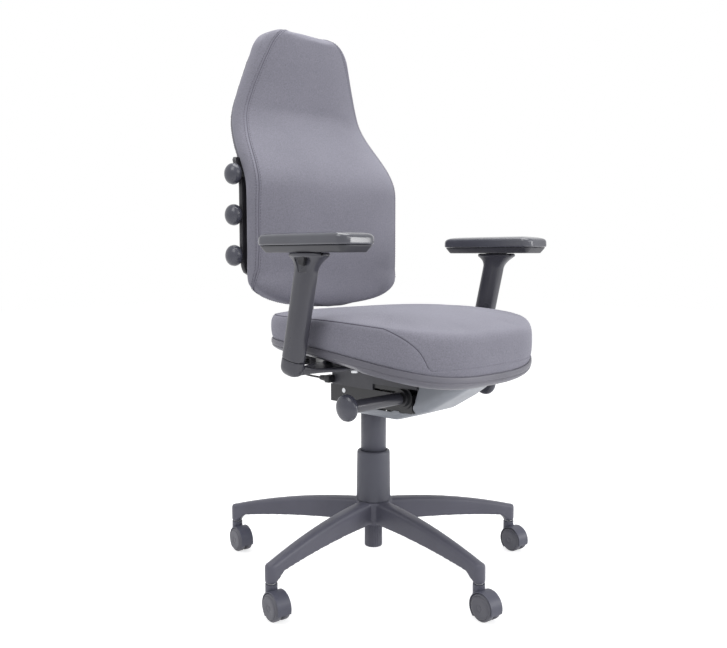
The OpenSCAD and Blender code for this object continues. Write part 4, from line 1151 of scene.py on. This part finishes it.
def build_wheel(i, word, s):
    """One wheel: a tread, a chamfer, a ring groove and a shallow dished disc."""
    inner = WHEEL_GAP
    outer = inner + WHEEL_W
    r = WHEEL_R
    profile = [(4, inner), (r - 4, inner), (r - 1.2, inner + 0.6), (r, inner + 2), (r, outer - 5.2)]
    profile += [(r - rim, outer - drop) for rim, drop in (
        (0.5, 3.8), (2.4, 1.9), (3.4, 1.5), (3.8, 2.4), (4.6, 2.4), (5.0, 0.9), (6.2, 0.1), (9, -0.1))]
    profile += [(hub, outer - drop) for hub, drop in (
        (9, 0.5), (6.5, 0.8), (5.9, 1.4), (5.2, 0.8), (2.5, 0.5), (0.4, 0.4))]
    wheel = lathe(f"wheel_{i}_{word}_moulding", profile, WHEEL_PLASTIC, axle_place(i, s), turns=72)
    stand_for(wheel, f"wheel_{i}_{word}", "wheel_plastic", f"caster_{i}_wheel_{word}")


def build_casters():
    """Each caster's hood and its two wheels."""
    for i in range(1, 6):
        rounded_copy(f"caster_{i}_body", 0.9, HOOD_PLASTIC, f"caster_{i}", "caster_plastic", f"hood_{i}", 28)
        for word, s in SIDES.items():
            build_wheel(i, word, s)


# Column
CYLINDER_R = 19


def build_column():
    """The two telescopic covers, and the fluted cylinder that shows under the hub."""
    (_, _, foot), (_, _, top) = box_mm("column_lower_cover")
    profile = [(35.2, foot), (36.75, foot), (36.75, foot + 1)]
    profile += [(r, top - drop) for r, drop in (
        (35.25, 5.5), (34.9, 3.2), (34.0, 1.2), (32.6, 0.2), (30.0, 0), (28.2, 0.6), (27.9, 3))]
    cover = lathe("lower_tube", profile, COVER_PLASTIC, standing(), turns=96)
    stand_for(cover, "base", "cover_plastic", "column_lower_cover")
    (_, _, foot), (r, _, top) = box_mm("column_upper_cover")
    cover = lathe("upper_tube", [(r - 1.5, foot), (r, foot), (r, top - 1), (r - 1, top)],
                  COVER_PLASTIC, standing(), turns=96)
    stand_for(cover, "mechanism", "cover_plastic", "column_upper_cover")
    (_, _, foot), (_, _, top) = box_mm("gas_cylinder")
    profile = [(4, foot), (15, foot), (18.2, foot + 0.8), (CYLINDER_R, foot + 3), (CYLINDER_R, 94.5),
               (24.9, 95.5), (24.9, top - 1), (24, top), (14.2, top)]
    stub = lathe("gas_cylinder_body", profile, BASE_PLASTIC, standing(), turns=144,
                 flutes=24, flute_depth=0.9, fluted=lambda z: 42 < z < 95)
    stand_for(stub, "base", "black_steel", "gas_cylinder")


# Mechanism
KNOB_X = 226
STRIP_X = 215
KNOB_D = 51
KNOB_T = 20
TILT_Y = -137
TILT_Z = 389
LUMBAR_D = 44
LUMBAR_T = 24
LUMBAR_WORDS = ("bottom", "middle", "top")


def domed_knob(name, d, t, place):
    """A knob with a grip edge and a domed face."""
    r = d / 2
    profile = [(r - 7, 0), (r - 4.5, 0.2), (r - 2.6, 1.2), (r - 0.9, 3.2), (r, 6.4), (r, 8.6), (r - 0.4, 10)]
    profile += [((r - 0.4) * cos(radians(a)), 10 + (t - 10) * sin(radians(a))) for a in range(12, 88, 8)]
    profile.append((0.5, t))
    return lathe(name, profile, KNOB_PLASTIC, place, turns=72)


def build_side_knobs():
    """The tension knob on the chair's right and the height lever's knob on its left."""
    for word, s, body, node in (("tension", RIGHT, "tension", "tension_knob"),
                                ("height", LEFT, "lever", "height_knob")):
        place = sideways(s * (KNOB_X - KNOB_T), TILT_Y, TILT_Z, s)
        knob = domed_knob(f"{word}_knob_cap", KNOB_D, KNOB_T, place)
        stand_for(knob, body, "knob_plastic", node)


def knob_middle(word):
    """The outer end and the axis of a lumbar knob."""
    (x0, y0, z0), (_, y1, z1) = box_mm(f"lumbar_knob_{word}")
    return x0, (y0 + y1) / 2, (z0 + z1) / 2


def build_lumbar_knobs():
    """Each lumbar knob with its collar and its shaft."""
    for word in LUMBAR_WORDS:
        x0, y, z = knob_middle(word)
        x_in = x0 + LUMBAR_T
        outward = sideways(x_in, y, z, RIGHT)
        knob = domed_knob("dome", LUMBAR_D, LUMBAR_T, outward)
        collar = lathe("collar", [(14, -2.4), (17.2, -2.2), (18, -1.4), (18, 0.4), (16, 0.9)], BLACK_PLASTIC,
                       outward, turns=48)
        shaft = lathe("shaft", [(4, 0), (4, 31)], STEEL, sideways(x_in - 1, y, z, LEFT), turns=24)
        cap = join(f"lumbar_{word}_cap", [knob, collar, shaft])
        stand_for(cap, f"knob_{word}", "knob_plastic", f"lumbar_knob_{word}")


def build_knob_strip():
    """The slim strip beside the back that carries the three knobs, tapered at both ends."""
    (_, _, bottom), (x1, _, top) = box_mm("knob_strip")
    inner, outer = -x1, STRIP_X - 6
    low_end, high_end = 46, 18
    rings = []
    count = 40
    for k in range(count + 1):
        z = mix(bottom, top, k / count)
        drawn = (end_round(z - bottom, low_end) + end_round(top - z, high_end)) / low_end
        reach = mix(inner + 2, outer, clamp(1 - drawn) ** 0.8)
        y0 = back_face(z) + BACK_T + 7.6
        outline = rounded_rect(reach - inner, 11, min(3.5, (reach - inner) * 0.4), 4)
        rings.append([(-(reach + inner) / 2 + x, y0 + y, z) for x, y in outline])
    pieces = [loft("strip", rings, STRIP_PLASTIC)]
    for word in LUMBAR_WORDS:
        _, y, z = knob_middle(word)
        pieces.append(lathe("boss", [(4.4, 0), (6.4, 0), (6.4, 30), (4.4, 30)], STRIP_PLASTIC,
                            sideways(-STRIP_X + 6, y, z, LEFT), turns=32))
    stand_for(join("knob_strip_moulding", pieces), "back", "black_plastic", "knob_strip")


CABLE_ROUTE = [(-72, 90, 408), (-72, 100, 408), (-73, 122, 409), (-77, 140, 412), (-86, 153, 418),
               (-99, 157, 426), (-113, 151, 435), (-124, 137, 443), (-131, 117, 449), (-134, 96, 453),
               (-135, 80, 454), (-135, 71.5, 454)]
CABLE_R = 2.2
BOOT_AT = (-72, 68, 408)
BRACKET_Z = 448


def curve_through(points, steps):
    """A smooth line through the points."""
    ends = [points[0]] + points + [points[-1]]
    line = []
    for i in range(1, len(ends) - 2):
        a, b, c, d = (np.array(q, dtype=float) for q in ends[i - 1:i + 3])
        for k in range(steps):
            t = k / steps
            line.append(0.5 * (2 * b + (c - a) * t + (2 * a - 5 * b + 4 * c - d) * t * t
                               + (3 * b - a - 3 * c + d) * t ** 3))
    line.append(np.array(points[-1], dtype=float))
    return line


def build_slide_cable():
    """The free cable from the housing to the seat depth trigger, with its boot and the trigger's bracket."""
    line = curve_through(CABLE_ROUTE, 8)
    cable = tube("slide_cable_cord", line, CABLE_R, BLACK_PLASTIC, sides=16)
    stand_for(cable, "seat", "black_plastic")
    profile = [(5.6, 0), (7.0, 1.4), (6.9, 4), (6.0, 5), (6.0, 6), (6.4, 7), (6.2, 10), (5.4, 11), (5.4, 12),
               (5.8, 13), (5.3, 18), (4.6, 20.8), (3.4, 22)]
    boot = lathe("slide_cable_boot", profile, BLACK_PLASTIC, rearward(*BOOT_AT), turns=32)
    stand_for(boot, "seat", "black_plastic")
    roof = box_mm("slide_cable")[1][2]
    tall = roof - BRACKET_Z
    middle = roof - tall / 2
    boxes = [("block", (-71.82, 61, 408), (18, 14, 16), 1.6),
             ("roof", (-149, 38, roof - 1.25), (30, 37, 2.5), 0.9),
             ("end", (-135, 62.5, middle), (14, 18, tall), 1.6),
             ("front_ear", (-156, 21, middle), (16, 3, tall), 0.9),
             ("rear_ear", (-156, 55, middle), (16, 3, tall), 0.9)]
    parts = [rounded_box(*box, BLACK_PLASTIC) for box in boxes]
    pin = [(2.2, 0), (3, 0.8), (3, 35.2), (2.2, 36)]
    parts.append(lathe("pin", pin, STEEL, rearward(-156, 20, 454), turns=24))
    stand_for(join("slide_trigger_bracket", parts), "seat", "black_plastic", "slide_cable")


def build_mechanism():
    """The pieces that keep the CAD shape: the bowl and the back's shell softened, the rest rounded."""
    rounded = {
        "tilt_housing": (0.8, BLACK_STEEL, "mechanism", "black_steel"),
        "tilt_plate": (0.8, BLACK_STEEL, "tilt", "black_steel"),
        "slide_carriage": (0.8, GREY_STEEL, "seat", "black_steel"),
        "tension_shaft": (1.2, ARM_PLASTIC, "tension", "black_steel"),
        "height_lever": (1.2, ARM_PLASTIC, "lever", "black_steel"),
        "back_upright": (1.6, BLACK_STEEL, "upright", "black_steel"),
        "back_slider": (1.5, BLACK_PLASTIC, "back", "black_plastic"),
        "slide_trigger": (1.2, BLACK_PLASTIC, "trigger", "black_plastic"),
        "seat_board": (1.5, BOARD, "seat", "board_wood"),
        "back_board": (1.5, BOARD, "back", "board_wood"),
        "seat_screws": (0.5, STEEL, "seat", "steel"),
        "back_screws": (0.5, STEEL, "back", "steel"),
        "caster_stems": (0.5, STEEL, "base", "steel"),
    }
    for node, (width, material, body, slot_name) in rounded.items():
        rounded_copy(node, width, material, body, slot_name, node + "_rounded")
    softened_copy("housing_cover", 1.3, 45, BOWL_PLASTIC, "mechanism", "bowl_plastic", "bowl_moulding")
    softened_copy("back_shell", 1.8, 6, SHELL_PLASTIC, "back", "shell_plastic", "back_shell_moulding")


bpy.context.scene.view_settings.view_transform = "Standard"
make_camera()
make_stage()
dress_frame()
build_base()
build_casters()
build_column()
build_mechanism()
build_side_knobs()
build_lumbar_knobs()
build_knob_strip()
build_slide_cable()
build_seat_shell()
build_seat_cushion()
build_back_cushion()
for word, s in SIDES.items():
    build_arm_foot(word, s)
    build_arm_upright(word, s)
    build_pad_base(word, s)
    build_pad(word, s)
